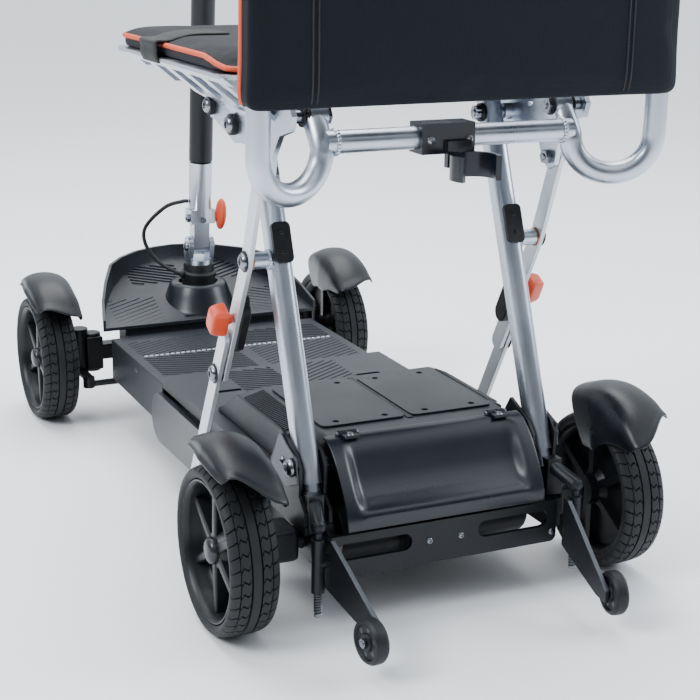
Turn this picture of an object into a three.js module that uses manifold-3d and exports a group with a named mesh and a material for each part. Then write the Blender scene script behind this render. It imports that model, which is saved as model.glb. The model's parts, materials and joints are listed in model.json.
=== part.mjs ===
// Folding four-wheel mobility scooter, built as separate pieces in one frame.
// Millimetres. +Z is up, the scooter faces -Y, and its left side is +X.
// The origin lies on the ground, under the middle of the whole machine.
import * as THREE from "three";
import { mergeVertices } from "three/addons/utils/BufferGeometryUtils.js";
import Module from "manifold-3d";

const wasm = await Module();
wasm.setup();

// ---------------------------------------------------------------- driving dimensions
const TYRE_R = 95;                 // solid tyres, 190 mm across
const TYRE_W = 55;
const RIM_R = 80;
const REAR_AXLE_Y = 359;
const FRONT_AXLE_Y = -449;
const REAR_WHEEL_X = 242.5;
const FRONT_WHEEL_X = 240.5;
const KINGPIN_X = 190;

const PAN_Z = 72;                  // underside of the floor pan
const DECK_TOP = 139;              // ribbed front deck
const DECK_HALF = 164;
const DECK_FRONT_Y = -356;
const STEP_Y = -108;               // where the front deck meets the middle cover
const COVER_TOP = 150;             // middle cover
const HUMP_TOP = 201;              // battery housing
const HUMP_FRONT_Y = 60;
const HUMP_NARROW_Y = 286;         // behind this the housing stays between the seat legs
const LID_Y = 346;                 // lid hinge line
const BUMPER_Y = 405;

const LEG_X = 147;                 // seat legs: D-section tubes leaning forwards
const LEG_HALF = 12.5;
const LEG_LEAN = 21 * Math.PI / 180;
const LEG_PIVOT = [360, 178];      // y, z of the pivot at the foot of the legs
const CROSS_T = 230.3;             // distances along the leg from that pivot
const TOP_T = 383.5;
const LINK_BEND = [315, 495];      // y, z where the upper link meets the seat bracket
const KNEE = [196, 243];
const KNEE_TO_KNOB = 86;
const LINK_HALF = 11;              // half the width of an upper link
const LOWER_HALF = 10.5;
const LOWER_PIVOT = [110, 85];
const BRACKET_X = 172;             // seat bracket plates, 6 mm thick
const LINK_X = 182;                // upper links, 6 mm thick
const LOWER_X = 190;               // lower links, 6 mm thick

const SEAT_HALF = 235;
const SEAT_PAN_Z = 598;
const SEAT_FRONT_Y = -54;
const SEAT_REAR_Y = 340;
const CUSHION_TOP = 624;
const BACK_PIVOT = [372, 562];
const BACK_HOOK_X = 148;           // inner end of each hook
const BACK_LEG_X = 232;
const BACK_TUBE_Y = 433;
const BACK_CROSS = [397, 538];     // y, z of the cross tube
const BACK_HALF = 250;
const BACK_TUBE_R = 12.5;
const BACK_BOTTOM = 576;
const BACK_TOP = 880;

const COLUMN_FOOT = [-430, 146];   // y, z of the steering axis at the platform
const COLUMN_LEAN = 5.4 * Math.PI / 180;
const FOLD_T = 112;                // tiller hinge, along the steering axis
const TILLER_R = 18;
const CONSOLE_T = 700;             // middle of the console
const BAR_T = 736;                 // handlebar
const BAR_R = 11;
const POST_X = 162;                // anti-tip posts behind the rear wheels
const POST_Y = 424;
const POST_R = 4.5;
const POST_TOP = 132;
const SLEEVE_R = 7.5;              // turning sleeve of the anti-tip arm
const CASTOR_R = 25;
const CASTOR_Z = 44;
const CASTOR_REACH = 107;          // from the post to the small wheel
const CASTOR_TURN = -7.5 * Math.PI / 180;
const GAP = 0.4;                   // clearance between neighbouring pieces

// ---------------------------------------------------------------- materials
const material = (color, roughness, metalness) =>
  new THREE.MeshStandardMaterial({ color, roughness, metalness });
const SILVER = material(0xc9ced6, 0.35, 0.9);
const FLAT_BAR = material(0xe2e5ea, 0.4, 0.6);
const BLACK_PAINT = material(0x14161a, 0.45, 0.2);
const BLACK_PLASTIC = material(0x1b1d21, 0.5, 0);
const DECK_PLASTIC = material(0x3c4048, 0.7, 0);
const RUBBER = material(0x15161a, 0.85, 0);
const FABRIC = material(0x10141d, 0.95, 0);
const CUSHION = material(0x33373d, 0.95, 0);
const ORANGE = material(0xf05a28, 0.5, 0);
const BATTERY = material(0x2a2c30, 0.6, 0);

// ---------------------------------------------------------------- solid modelling helpers
const toSolid = (geometry) => {
  const bare = geometry.clone();
  bare.deleteAttribute("normal");
  bare.deleteAttribute("uv");
  const merged = mergeVertices(bare, 1e-3);
  return new wasm.Manifold(new wasm.Mesh({
    numProp: 3,
    vertProperties: new Float32Array(merged.attributes.position.array),
    triVerts: new Uint32Array(merged.index.array),
  }));
};

const toGeometry = (solid) => {
  const mesh = solid.getMesh();
  const geometry = new THREE.BufferGeometry();
  geometry.setAttribute("position", new THREE.BufferAttribute(new Float32Array(mesh.vertProperties), 3));
  geometry.setIndex(new THREE.BufferAttribute(new Uint32Array(mesh.triVerts), 1));
  geometry.computeVertexNormals();
  return geometry;
};

const join = (...solids) => solids.reduce((all, next) => all.add(next));
const cut = (body, ...tools) => tools.reduce((rest, tool) => rest.subtract(tool), body);

const polygon = (points) => new THREE.Shape(points.map(([u, v]) => new THREE.Vector2(u, v)));

const extrude = (shape, depth, curveSegments = 8) =>
  new THREE.ExtrudeGeometry(shape, { depth, bevelEnabled: false, steps: 1, curveSegments });

// A shape drawn in (y, z), extruded between two x values.
const alongX = (shape, x0, x1, curveSegments) => {
  const low = Math.min(x0, x1);
  const geometry = extrude(shape, Math.abs(x1 - x0), curveSegments);
  const axes = new THREE.Matrix4().makeBasis(
    new THREE.Vector3(0, 1, 0), new THREE.Vector3(0, 0, 1), new THREE.Vector3(1, 0, 0));
  return toSolid(geometry.applyMatrix4(axes).translate(low, 0, 0));
};

// A shape drawn in (x, z), extruded between two y values.
const alongY = (shape, y0, y1, curveSegments) => {
  const geometry = extrude(shape, Math.abs(y1 - y0), curveSegments);
  const axes = new THREE.Matrix4().makeBasis(
    new THREE.Vector3(1, 0, 0), new THREE.Vector3(0, 0, 1), new THREE.Vector3(0, -1, 0));
  return toSolid(geometry.applyMatrix4(axes).translate(0, Math.max(y0, y1), 0));
};

// A shape drawn in (x, y), extruded between two z values.
const alongZ = (shape, z0, z1, curveSegments) =>
  toSolid(extrude(shape, Math.abs(z1 - z0), curveSegments).translate(0, 0, Math.min(z0, z1)));

const box = (x0, x1, y0, y1, z0, z1) => {
  const geometry = new THREE.BoxGeometry(Math.abs(x1 - x0), y1 - y0, z1 - z0);
  return toSolid(geometry.translate((x0 + x1) / 2, (y0 + y1) / 2, (z0 + z1) / 2));
};

// A round bar between two points.
const rod = (from, to, radius, segments = 12, endRadius = radius) => {
  const start = new THREE.Vector3(...from);
  const end = new THREE.Vector3(...to);
  const direction = end.clone().sub(start);
  const geometry = new THREE.CylinderGeometry(endRadius, radius, direction.length(), segments);
  const turn = new THREE.Quaternion().setFromUnitVectors(
    new THREE.Vector3(0, 1, 0), direction.clone().normalize());
  geometry.applyQuaternion(turn);
  const middle = start.add(end).multiplyScalar(0.5);
  return toSolid(geometry.translate(middle.x, middle.y, middle.z));
};

const ball = (center, radius, segments = 10) =>
  toSolid(new THREE.SphereGeometry(radius, segments, Math.round(segments / 2)).translate(...center));

// A closed outline of (radius, x) pairs, turned about an axle that lies along X.
const turned = (outline, center, segments) => {
  const points = outline.map(([r, a]) => new THREE.Vector2(r, a));
  if (THREE.ShapeUtils.area(points) < 0) points.reverse();
  points.push(points[0].clone());
  const geometry = new THREE.LatheGeometry(points, segments);
  const turn = new THREE.Matrix4().makeRotationZ(-Math.PI / 2);
  return toSolid(geometry.applyMatrix4(turn).translate(...center));
};

const roundedRect = (u0, u1, v0, v1, r) => {
  const shape = new THREE.Shape();
  shape.moveTo(u0 + r, v0);
  shape.lineTo(u1 - r, v0);
  shape.absarc(u1 - r, v0 + r, r, -Math.PI / 2, 0);
  shape.lineTo(u1, v1 - r);
  shape.absarc(u1 - r, v1 - r, r, 0, Math.PI / 2);
  shape.lineTo(u0 + r, v1);
  shape.absarc(u0 + r, v1 - r, r, Math.PI / 2, Math.PI);
  shape.lineTo(u0, v0 + r);
  shape.absarc(u0 + r, v0 + r, r, Math.PI, 1.5 * Math.PI);
  return shape;
};

// A flat bar with round ends between two (y, z) points.
const barShape = ([y0, z0], [y1, z1], halfWidth, reach0 = 0, reach1 = 0) => {
  const angle = Math.atan2(z1 - z0, y1 - y0);
  const a = [y0 - reach0 * Math.cos(angle), z0 - reach0 * Math.sin(angle)];
  const b = [y1 + reach1 * Math.cos(angle), z1 + reach1 * Math.sin(angle)];
  const shape = new THREE.Shape();
  shape.absarc(b[0], b[1], halfWidth, angle - Math.PI / 2, angle + Math.PI / 2);
  shape.absarc(a[0], a[1], halfWidth, angle + Math.PI / 2, angle + 1.5 * Math.PI);
  return shape;
};

const sweep = (points, radius, sides, steps, tension = 0.5) => {
  const path = new THREE.CatmullRomCurve3(points.map((p) => new THREE.Vector3(...p)), false,
    "catmullrom", tension);
  const section = new THREE.Shape();
  for (let i = 0; i < sides; i++) {
    const angle = 2 * Math.PI * i / sides;
    const place = [radius * Math.cos(angle), radius * Math.sin(angle)];
    if (i === 0) section.moveTo(...place);
    else section.lineTo(...place);
  }
  section.closePath();
  return toSolid(new THREE.ExtrudeGeometry(section, { steps, extrudePath: path, bevelEnabled: false }));
};

// ---------------------------------------------------------------- the assembly
const group = new THREE.Group();
const add = (name, solid, look) => {
  const mesh = new THREE.Mesh(toGeometry(solid), look);
  mesh.name = name;
  group.add(mesh);
};
const SIDES = [["left", 1], ["right", -1]];

// Points along a seat leg and along the steering axis.
const legPoint = (t) => [LEG_PIVOT[0] - t * Math.sin(LEG_LEAN), LEG_PIVOT[1] + t * Math.cos(LEG_LEAN)];
const columnPoint = (t, x = 0, out = 0) => [
  x,
  COLUMN_FOOT[0] + t * Math.sin(COLUMN_LEAN) + out * Math.cos(COLUMN_LEAN),
  COLUMN_FOOT[1] + t * Math.cos(COLUMN_LEAN) - out * Math.sin(COLUMN_LEAN),
];

// ---- chassis
const chassisFrame = () => {
  let frame = box(-156, 156, -328, 312, PAN_Z, PAN_Z + 4);
  for (const [, s] of SIDES) {
    frame = join(frame,
      box(s * 138, s * 156, -328, 403, PAN_Z + 3, 108),
      rod([s * 150, ...LOWER_PIVOT], [s * (LOWER_X - GAP), ...LOWER_PIVOT], 13));
  }
  return cut(join(frame,
    box(-150, 150, -328, -300, PAN_Z + 2, 108),
    box(-150, 150, -120, -100, PAN_Z + 2, 108),
    box(-40, 40, -436, -310, 84, 108)),
  rod([-170, REAR_AXLE_Y, 95], [170, REAR_AXLE_Y, 95], 14, 14));
};
add("chassis_frame", chassisFrame(), BLACK_PAINT);

const frontDeck = () => {
  const outer = box(-DECK_HALF, DECK_HALF, DECK_FRONT_Y, STEP_Y, PAN_Z + 4, DECK_TOP);
  const inside = box(-DECK_HALF + 4, DECK_HALF - 4, DECK_FRONT_Y + 4, STEP_Y + 10, 60, DECK_TOP - 5);
  return cut(outer, inside, box(-45, 45, DECK_FRONT_Y - 10, DECK_FRONT_Y + 10, 60, 112));
};
add("front_deck", frontDeck(), DECK_PLASTIC);

const platformHalfWidth = [
  [-362, 174], [-400, 165], [-437, 150], [-475, 130], [-510, 104], [-538, 70], [-554, 34],
];
const platformOutline = (inset) => {
  const side = platformHalfWidth.map(([y, w]) => [w - inset, y + inset * (y + 362) / -198]);
  const nose = [[0, -560 + inset]];
  const other = side.slice().reverse().map(([w, y]) => [-w, y]);
  return polygon([...side, ...nose, ...other]);
};
const frontPlatform = () => {
  const wedge = (z0, z1, thick) => polygon([
    [-370 + 8.5, z0], [-562, z1], [-562, z1 + thick], [-370 + 8.5, z0 + thick],
  ]);
  const tall = alongZ(platformOutline(0), 120, 300);
  const floor = tall.intersect(alongX(wedge(149, 209, 5), -200, 200));
  const rim = cut(tall, alongZ(platformOutline(4), 110, 310)).intersect(
    alongX(polygon([[-361.5, 150], [-562, 212], [-562, 232], [-470, 226], [-361.5, 166]]), -200, 200));
  const dome = rod([0, -428, 150], [0, -428, 198], 62, 24, 42);
  const well = rod([0, -431, 120], [0, -427, 240], 30.5, 24);
  const stem = box(-40, 40, -400, -372, 112.5, 160);
  return cut(join(floor, rim, dome.intersect(tall), stem), well,
    alongX(polygon([[-340, 148.5], [-562, 208.5], [-562, 100], [-405, 100], [-405, 160], [-370, 150]]),
      -38.5, 38.5).intersect(box(-38.5, 38.5, -470, -404, 90, 176)));
};
add("front_platform", frontPlatform(), DECK_PLASTIC);

const middleCover = () => {
  const plate = box(-DECK_HALF, DECK_HALF, STEP_Y + 2, 322, COVER_TOP - 4, COVER_TOP);
  let cover = cut(plate, box(-124, 124, HUMP_FRONT_Y + 4, 330, 140, 160));
  for (const [, s] of SIDES) {
    cover = join(cover, box(s * (DECK_HALF - 4), s * DECK_HALF, STEP_Y + 2, 322, 134, COVER_TOP - 2));
    cover = cut(cover, box(s * 128, s * 180, 288, 340, 120, 160));
    cover = cut(cover, alongZ(roundedRect(s * 102 - 18, s * 102 + 18, -16, -7, 4), 140, 160));
  }
  return cover;
};
add("middle_cover", middleCover(), DECK_PLASTIC);

const humpProfile = (halfWidth, inset) => polygon([
  [-halfWidth + inset, COVER_TOP + GAP - inset], [halfWidth - inset, COVER_TOP + GAP - inset],
  [halfWidth - 3 - inset, 189 - inset / 2], [116 - inset / 2, HUMP_TOP - inset],
  [-116 + inset / 2, HUMP_TOP - inset], [3 - halfWidth + inset, 189 - inset / 2],
]);
const humpSide = (inset) => polygon([
  [60 + inset * 2, COVER_TOP - 10], [60 + inset * 2, COVER_TOP + 4], [84 + inset, 166 - inset / 2],
  [144 + inset / 2, HUMP_TOP + 1 - inset], [500, HUMP_TOP + 1 - inset], [500, COVER_TOP - 10],
]);
const hump = (inset) => join(
  alongY(humpProfile(144, inset), 50, HUMP_NARROW_Y - inset),
  alongY(humpProfile(129, inset), 50, LID_Y - 1 + inset * 2),
).intersect(alongX(humpSide(inset), -200, 200));
const rearCover = () => cut(hump(0), hump(4));
add("rear_cover", rearCover(), DECK_PLASTIC);

for (const [name, s] of SIDES) {
  const x0 = s > 0 ? 4 : -110;
  const panel = alongZ(roundedRect(x0, x0 + 106, 156, 315, 8), HUMP_TOP + GAP, HUMP_TOP + 2.4, 3);
  const screws = [[22, 168], [22, 303], [84, 168], [84, 303]].map(([dx, y]) =>
    rod([x0 + dx, y, HUMP_TOP - 5], [x0 + dx, y, HUMP_TOP + 10], 4, 8));
  add(`access_panel_${name}`, cut(panel, ...screws), DECK_PLASTIC);
}

add("battery_pack", join(
  alongY(roundedRect(-118, 118, 80, 190, 10), 160, 308, 3),
  alongY(roundedRect(-118, 118, 80, 142, 10), 20, 162, 3)), BATTERY);

const scoopCurve = [[348, 204], [357, 186], [371, 164], [389, 146], [407, 136], [417, 130], [419, 116]];
const hoodCurve = [[348, 204], [370, 203], [394, 190], [411, 166], [419, 140], [419, 116]];
const rearLid = () => {
  const under = scoopCurve.map(([y, z]) => [y - 2.6, z - 3.4]);
  under[0] = [347, 199];
  under[under.length - 1] = [414, 116];
  let lid = alongX(polygon([...scoopCurve, ...under.slice().reverse()]), -124, 124);
  const cheek = polygon([...hoodCurve, ...under.slice().reverse()]);
  for (const [, s] of SIDES) {
    lid = join(lid, alongX(cheek, s * 110, s * 124),
      rod([s * 86, 348.5, 204], [s * 110, 348.5, 204], 3.6, 12));
  }
  return lid;
};
add("rear_lid", rearLid(), BLACK_PLASTIC);

const rearBumper = () => {
  let plate = alongY(roundedRect(-146, 146, 60, 110, 8), BUMPER_Y, BUMPER_Y + 6, 4);
  for (const [, s] of SIDES) {
    plate = cut(plate, alongY(roundedRect(s * 88 - 46, s * 88 + 46, 80, 100, 9.9), 390, 430, 5));
  }
  return plate;
};
add("rear_bumper", rearBumper(), BLACK_PAINT);

for (const [name, s] of SIDES) {
  const outline = new THREE.Shape();
  outline.moveTo(-96, 60);
  outline.lineTo(255, 66);
  outline.lineTo(255, 129);
  outline.lineTo(-100, 129);
  outline.absarc(-96, 94.5, 34.5, Math.PI * 0.53, Math.PI * 1.5);
  const panel = alongX(outline, s * (DECK_HALF + 1), s * (DECK_HALF + 9), 8);
  const holes = rod([s * 150, ...LOWER_PIVOT], [s * 200, ...LOWER_PIVOT], 15);
  add(`side_panel_${name}`, cut(panel, holes), BLACK_PLASTIC);
}

// ---- rear brackets: ears for the seat legs and the post of the anti-tip arm
const rearBracket = (s) => {
  const [py, pz] = LEG_PIVOT;
  const ear = polygon([
    [py - 68, pz - 12], [py - 38, pz + 33], [py - 22, pz + 27], [py + 4, pz + 16],
    [py + 16, pz + 2], [py + 14, pz - 30], [py + 30, pz - 44], [py + 30, pz - 68], [py - 68, pz - 68],
  ]);
  const inner = LEG_X - LEG_HALF - GAP;
  const outer = LEG_X + LEG_HALF + GAP;
  return join(
    alongX(ear, s * outer, s * (outer + 4)),
    alongX(ear, s * (inner - 4), s * inner),
    box(s * (inner - 4), s * (outer + 4), py - 68, py + 32, pz - 69, pz - 60),
    rod([s * (inner - 8), py, pz], [s * (outer + 9), py, pz], 6),
    rod([s * (outer + 3), py, pz], [s * (outer + 8), py, pz], 10, 12),
    rod([s * 150, py + 24, pz - 32], [s * POST_X, POST_Y, POST_TOP], 8.5, 12),
    box(s * 142, s * 160, py + 18, py + 34, pz - 66, pz - 24),
    ball([s * POST_X, POST_Y, POST_TOP], 8.5),
    rod([s * POST_X, POST_Y, 34], [s * POST_X, POST_Y, POST_TOP], POST_R, 14));
};
for (const [name, s] of SIDES) add(`rear_bracket_${name}`, rearBracket(s), BLACK_PAINT);

const transaxle = () => join(
  rod([-118, REAR_AXLE_Y, 95], [118, REAR_AXLE_Y, 95], 34, 20),
  rod([-42, REAR_AXLE_Y, 95], [42, REAR_AXLE_Y, 95], 44, 20),
  rod([-203, REAR_AXLE_Y, 95], [203, REAR_AXLE_Y, 95], 13, 14));
add("transaxle", transaxle(), BLACK_PAINT);

// ---- wheels
const tyreOutline = (width) => {
  const w = width / 2;
  return [[RIM_R + GAP, -w + 5], [TYRE_R - 8, -w], [TYRE_R - 3, -w + 2.5], [TYRE_R, -w + 11],
    [TYRE_R, w - 11], [TYRE_R - 3, w - 2.5], [TYRE_R - 8, w], [RIM_R + GAP, w - 5]];
};
const rim = (center, s) => {
  const place = (a) => center[0] + s * a;
  const barrel = turned([[74, -22], [RIM_R, -22], [RIM_R, 22.5], [78, 24.5], [74, 20]]
    .map(([r, a]) => [r, s * a]), center, 28);
  const hub = rod([place(-27.2), center[1], center[2]], [place(16), center[1], center[2]], 19, 18);
  const cap = rod([place(15), center[1], center[2]], [place(24), center[1], center[2]], 15, 18, 10);
  let wheel = join(barrel, hub, cap);
  for (let i = 0; i < 6; i++) {
    const angle = i * Math.PI / 3 + Math.PI / 2;
    const along = ([r, w]) => [
      center[1] + r * Math.cos(angle) - w * Math.sin(angle),
      center[2] + r * Math.sin(angle) + w * Math.cos(angle),
    ];
    const spoke = polygon([[12, -8], [76, -5], [76, 5], [12, 8]].map(along));
    wheel = join(wheel, alongX(spoke, place(2), place(13)));
  }
  return wheel;
};
const WHEELS = [
  ["rear_left", REAR_WHEEL_X, REAR_AXLE_Y, 1], ["rear_right", -REAR_WHEEL_X, REAR_AXLE_Y, -1],
  ["front_left", FRONT_WHEEL_X, FRONT_AXLE_Y, 1], ["front_right", -FRONT_WHEEL_X, FRONT_AXLE_Y, -1],
];
for (const [name, x, y, s] of WHEELS) {
  add(`tyre_${name}`, turned(tyreOutline(TYRE_W), [x, y, TYRE_R], 28), RUBBER);
  const stubBore = rod([x - s * 60, y, TYRE_R], [x - s * 6, y, TYRE_R], 9.5, 14);
  const wheel = rim([x, y, TYRE_R], s);
  add(`rim_${name}`, y === FRONT_AXLE_Y ? cut(wheel, stubBore) : wheel, BLACK_PLASTIC);
}

// ---- mudguards: a ring of the guard's section, cut to the arc that covers the wheel
const fender = (x, y, s, from, to, stay) => {
  const section = [[104, 29], [110, 28], [113, 22], [113.5, -18], [109, -29], [98, -31],
    [98, -28], [107, -26], [110.5, -17], [110, 21], [107.5, 25], [103, 26]];
  const ring = turned(section.map(([r, a]) => [r, s * a]), [x, y, TYRE_R], 44);
  const sector = [[y, TYRE_R]];
  const steps = 6;
  for (let i = 0; i <= steps; i++) {
    const angle = (from + (to - from) * i / steps) * Math.PI / 180;
    sector.push([y + 150 * Math.cos(angle), TYRE_R + 150 * Math.sin(angle)]);
  }
  return join(ring.intersect(alongX(polygon(sector), x - 60, x + 60)), stay);
};
for (const [name, s] of SIDES) {
  const stay = join(box(s * 165.5, s * 213, 340, 352, 192, 197),
    box(s * 210.5, s * 213.5, 338, 354, 190, 206));
  add(`fender_rear_${name}`, fender(s * REAR_WHEEL_X, REAR_AXLE_Y, s, 28, 128, stay), BLACK_PLASTIC);
}

// ---- front axle, knuckles and steering linkage
const frontAxle = () => {
  let axle = box(-180, 180, -462, -436.5, 84, 108);
  for (const [, s] of SIDES) {
    axle = join(axle, rod([s * KINGPIN_X, FRONT_AXLE_Y, 72], [s * KINGPIN_X, FRONT_AXLE_Y, 128], 14, 18));
  }
  return join(axle, box(-38, 38, -470, -404, 108, 132),
    cut(rod([0, -434.5, 100], [0, -431, 145], 27, 20), box(-50, 50, -500, -400, 60, 108)));
};
add("front_axle", frontAxle(), BLACK_PAINT);

for (const [name, s] of SIDES) {
  const x = s * KINGPIN_X;
  const y = FRONT_AXLE_Y;
  const knuckle = join(
    rod([x, y, 128.5], [x, y, 135], 14, 18),
    rod([x, y, 64], [x, y, 71.5], 14, 18),
    box(x, x + s * 22, y - 11, y + 11, 128.5, 135),
    box(x, x + s * 22, y - 11, y + 11, 64, 71.5),
    box(x + s * 16, x + s * 22.5, y - 12, y + 12, 64, 135),
    rod([x + s * 20, y, 95], [x + s * 40, y, 95], 9, 14),
    box(x - 7, x + 7, y, y + 56, 65, 70.5),
    rod([x, y + 52, 65], [x, y + 52, 70.5], 9, 14));
  add(`knuckle_${name}`, knuckle, BLACK_PAINT);
  const stay = join(box(x + s * 18.9, x + s * 21.9, y - 8, y + 8, 135.4, 202),
    box(x + s * 4, x + s * 21.9, y - 8, y + 8, 135.4, 139));
  add(`fender_front_${name}`, fender(s * FRONT_WHEEL_X, y, s, 44, 142, stay), BLACK_PLASTIC);
}
add("tie_rod", join(
  rod([-KINGPIN_X + 8, FRONT_AXLE_Y + 52, 59], [KINGPIN_X - 8, FRONT_AXLE_Y + 52, 59], 5, 12),
  rod([-KINGPIN_X, FRONT_AXLE_Y + 52, 54], [-KINGPIN_X, FRONT_AXLE_Y + 52, 64.6], 9, 14),
  rod([KINGPIN_X, FRONT_AXLE_Y + 52, 54], [KINGPIN_X, FRONT_AXLE_Y + 52, 64.6], 9, 14)), BLACK_PAINT);

// ---- steering column and folding tiller, built along the leaning steering axis
add("steering_column", join(
  rod(columnPoint(2), columnPoint(70), 28, 20, 26),
  rod(columnPoint(70), columnPoint(84), 24, 20)), BLACK_PAINT);

const tillerFork = () => {
  const [, y0, z0] = columnPoint(84.4);
  const [, y1, z1] = columnPoint(FOLD_T);
  const base = rod(columnPoint(84.4), columnPoint(92), 20.5, 20);
  const cheek = (x0, x1) => alongX(barShape([y0, z0 + 14], [y1, z1], 13, 0, 3), x0, x1, 6);
  return join(base, cheek(13, 20.5), cheek(-20.5, -13), rod([-22, y1, z1], [22, y1, z1], 4.5, 12));
};
add("tiller_fork", tillerFork(), SILVER);

const tillerClamp = () => {
  const [, y1, z1] = columnPoint(FOLD_T);
  const core = alongX(barShape([y1, z1], columnPoint(FOLD_T + 60).slice(1), 11.5), -12.4, 12.4, 6);
  const sleeve = rod(columnPoint(FOLD_T + 40), columnPoint(246), 17.5, 20);
  const ears = box(-19.5, 19.5, columnPoint(160, 0, 0)[1] - 12, columnPoint(160)[1] + 16,
    columnPoint(150)[2], columnPoint(172)[2]);
  return cut(join(core, sleeve, ears), rod([-30, y1, z1], [30, y1, z1], 5, 12),
    rod(columnPoint(186), columnPoint(260), 13.4, 20));
};
add("tiller_clamp", tillerClamp(), SILVER);

const leverHub = columnPoint(160, -20, 8);
const latchLever = () => {
  const [, y, z] = leverHub;
  const wing = new THREE.Shape();
  wing.absellipse(y + 4, z, 11, 20, 0, 2 * Math.PI);
  return join(rod([-19.9, y, z], [-26, y, z], 7, 12), alongX(wing, -25.5, -34, 6));
};
add("tiller_latch_lever", latchLever(), ORANGE);

add("tiller_tube", join(
  rod(columnPoint(187), columnPoint(640), 13, 20),
  rod(columnPoint(246.6), columnPoint(620), TILLER_R, 20)), BLACK_PAINT);

const consoleHousing = () => {
  const [, y, z] = columnPoint(CONSOLE_T);
  const side = polygon([[y - 40, z - 40], [y + 34, z - 46], [y + 44, z - 6], [y + 26, z + 42],
    [y - 26, z + 56], [y - 46, z + 20]]);
  const body = alongX(side, -62, 62);
  const [, by, bz] = columnPoint(BAR_T);
  return cut(body, rod(columnPoint(600), columnPoint(660.4), TILLER_R + 0.5, 20),
    rod([-80, by, bz], [80, by, bz], 11.4, 16));
};
add("console", consoleHousing(), BLACK_PLASTIC);

const [, barY, barZ] = columnPoint(BAR_T);
add("handlebar", join(
  rod([-66, barY, barZ], [66, barY, barZ], BAR_R, 16),
  ...SIDES.flatMap(([, s]) => [
    rod([s * 64, barY, barZ], [s * 110, barY + 14, barZ + 4], BAR_R, 16),
    rod([s * 108, barY + 13.4, barZ + 3.8], [s * 210, barY + 50, barZ + 4], BAR_R, 16),
  ])), BLACK_PAINT);
for (const [name, s] of SIDES) {
  const from = [s * 126, barY + 20, barZ + 4];
  const to = [s * 212, barY + 50.8, barZ + 4];
  add(`grip_${name}`, cut(rod(from, to, 16, 18), rod([s * 90, barY + 7, barZ + 3.7],
    [s * 210.6, barY + 50.3, barZ + 4], 11.4, 16)), RUBBER);
}
add("throttle_lever", join(
  rod([0, barY + 24, barZ - 94], [0, barY + 24, barZ - 82.4], 8),
  rod([-128, barY + 40, barZ - 90], [128, barY + 40, barZ - 90], 5, 10),
  box(-8, 8, barY + 24, barY + 40, barZ - 94, barZ - 86),
  ...SIDES.map(([, s]) => rod([s * 124, barY + 40, barZ - 92], [s * 136, barY + 52, barZ - 22], 7, 10)),
), BLACK_PLASTIC);

const [, dialY, dialZ] = columnPoint(CONSOLE_T);
add("speed_dial", rod([26, dialY + 36.2, dialZ + 16.5], [26, dialY + 48, dialZ + 21.2], 13, 16), ORANGE);

// ---- steering harness: a cable held from the column foot to the tiller clamp
add("harness_cable", sweep([
  columnPoint(56, 29, 4), columnPoint(58, 40, -4), columnPoint(66, 62, -26),
  columnPoint(96, 78, -42), columnPoint(136, 74, -42), columnPoint(170, 48, -26),
  columnPoint(182, 26, -10), columnPoint(184, 18.4, -4),
], 3, 8, 22), RUBBER);

// ---- seat legs
const seatLeg = (s) => {
  const section = new THREE.Shape();
  section.moveTo(-LEG_HALF, -11);
  section.lineTo(LEG_HALF, -11);
  section.lineTo(LEG_HALF, 2);
  section.absarc(0, 2, LEG_HALF, 0, Math.PI);
  const hollow = new THREE.Path();
  hollow.moveTo(-LEG_HALF + 3, -8);
  hollow.lineTo(LEG_HALF - 3, -8);
  hollow.lineTo(LEG_HALF - 3, 2);
  hollow.absarc(0, 2, LEG_HALF - 3, 0, Math.PI);
  section.holes.push(hollow);
  const geometry = extrude(section, 423, 6);
  const up = new THREE.Vector3(0, -Math.sin(LEG_LEAN), Math.cos(LEG_LEAN));
  const back = new THREE.Vector3(0, Math.cos(LEG_LEAN), Math.sin(LEG_LEAN));
  geometry.applyMatrix4(new THREE.Matrix4().makeBasis(new THREE.Vector3(1, 0, 0), back, up));
  const [y0, z0] = legPoint(-21);
  const tube = toSolid(geometry.translate(s * LEG_X, y0, z0));
  const cross = legPoint(CROSS_T);
  const boss = rod([s * (LEG_X - 2), ...cross], [s * (LINK_X - GAP), ...cross], 9.5, 16);
  const hole = (t, radius) => rod([s * 120, ...legPoint(t)], [s * 165, ...legPoint(t)], radius, 12);
  const socket = rod([s * 162, ...cross], [s * (LINK_X + 2), ...cross], 5.4, 12);
  return cut(join(tube, boss), hole(0, 6.4), hole(TOP_T, 5.4), socket);
};
for (const [name, s] of SIDES) add(`seat_leg_${name}`, seatLeg(s), SILVER);

// ---- upper links (a bar with a slight bend at the crossing) and lower links
const linkAngle = Math.atan2(legPoint(CROSS_T)[1] - KNEE[1], legPoint(CROSS_T)[0] - KNEE[0]);
const onLink = (d) => [KNEE[0] + d * Math.cos(linkAngle), KNEE[1] + d * Math.sin(linkAngle)];
const upperLink = (s) => {
  const cross = legPoint(CROSS_T);
  const x0 = s * LINK_X;
  const x1 = s * (LINK_X + 6);
  return join(
    alongX(barShape(cross, LINK_BEND, LINK_HALF), x0, x1, 6),
    alongX(barShape(KNEE, cross, LINK_HALF), x0, x1, 6),
    rod([s * 166, ...cross], [s * (LINK_X + 1), ...cross], 5, 12),
    rod([s * (LINK_X + 5), ...cross], [s * (LINK_X + 9.5), ...cross], 9, 12),
    rod([s * (LINK_X + 5), ...LINK_BEND], [s * (LINK_X + 9.5), ...LINK_BEND], 9, 12),
    rod([s * (BRACKET_X + 6 + GAP), ...LINK_BEND], [s * (LINK_X + 1), ...LINK_BEND], 8, 12),
    alongX(barShape(onLink(50), onLink(96), 12), s * 171, s * (LINK_X + 1), 4));
};
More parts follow.
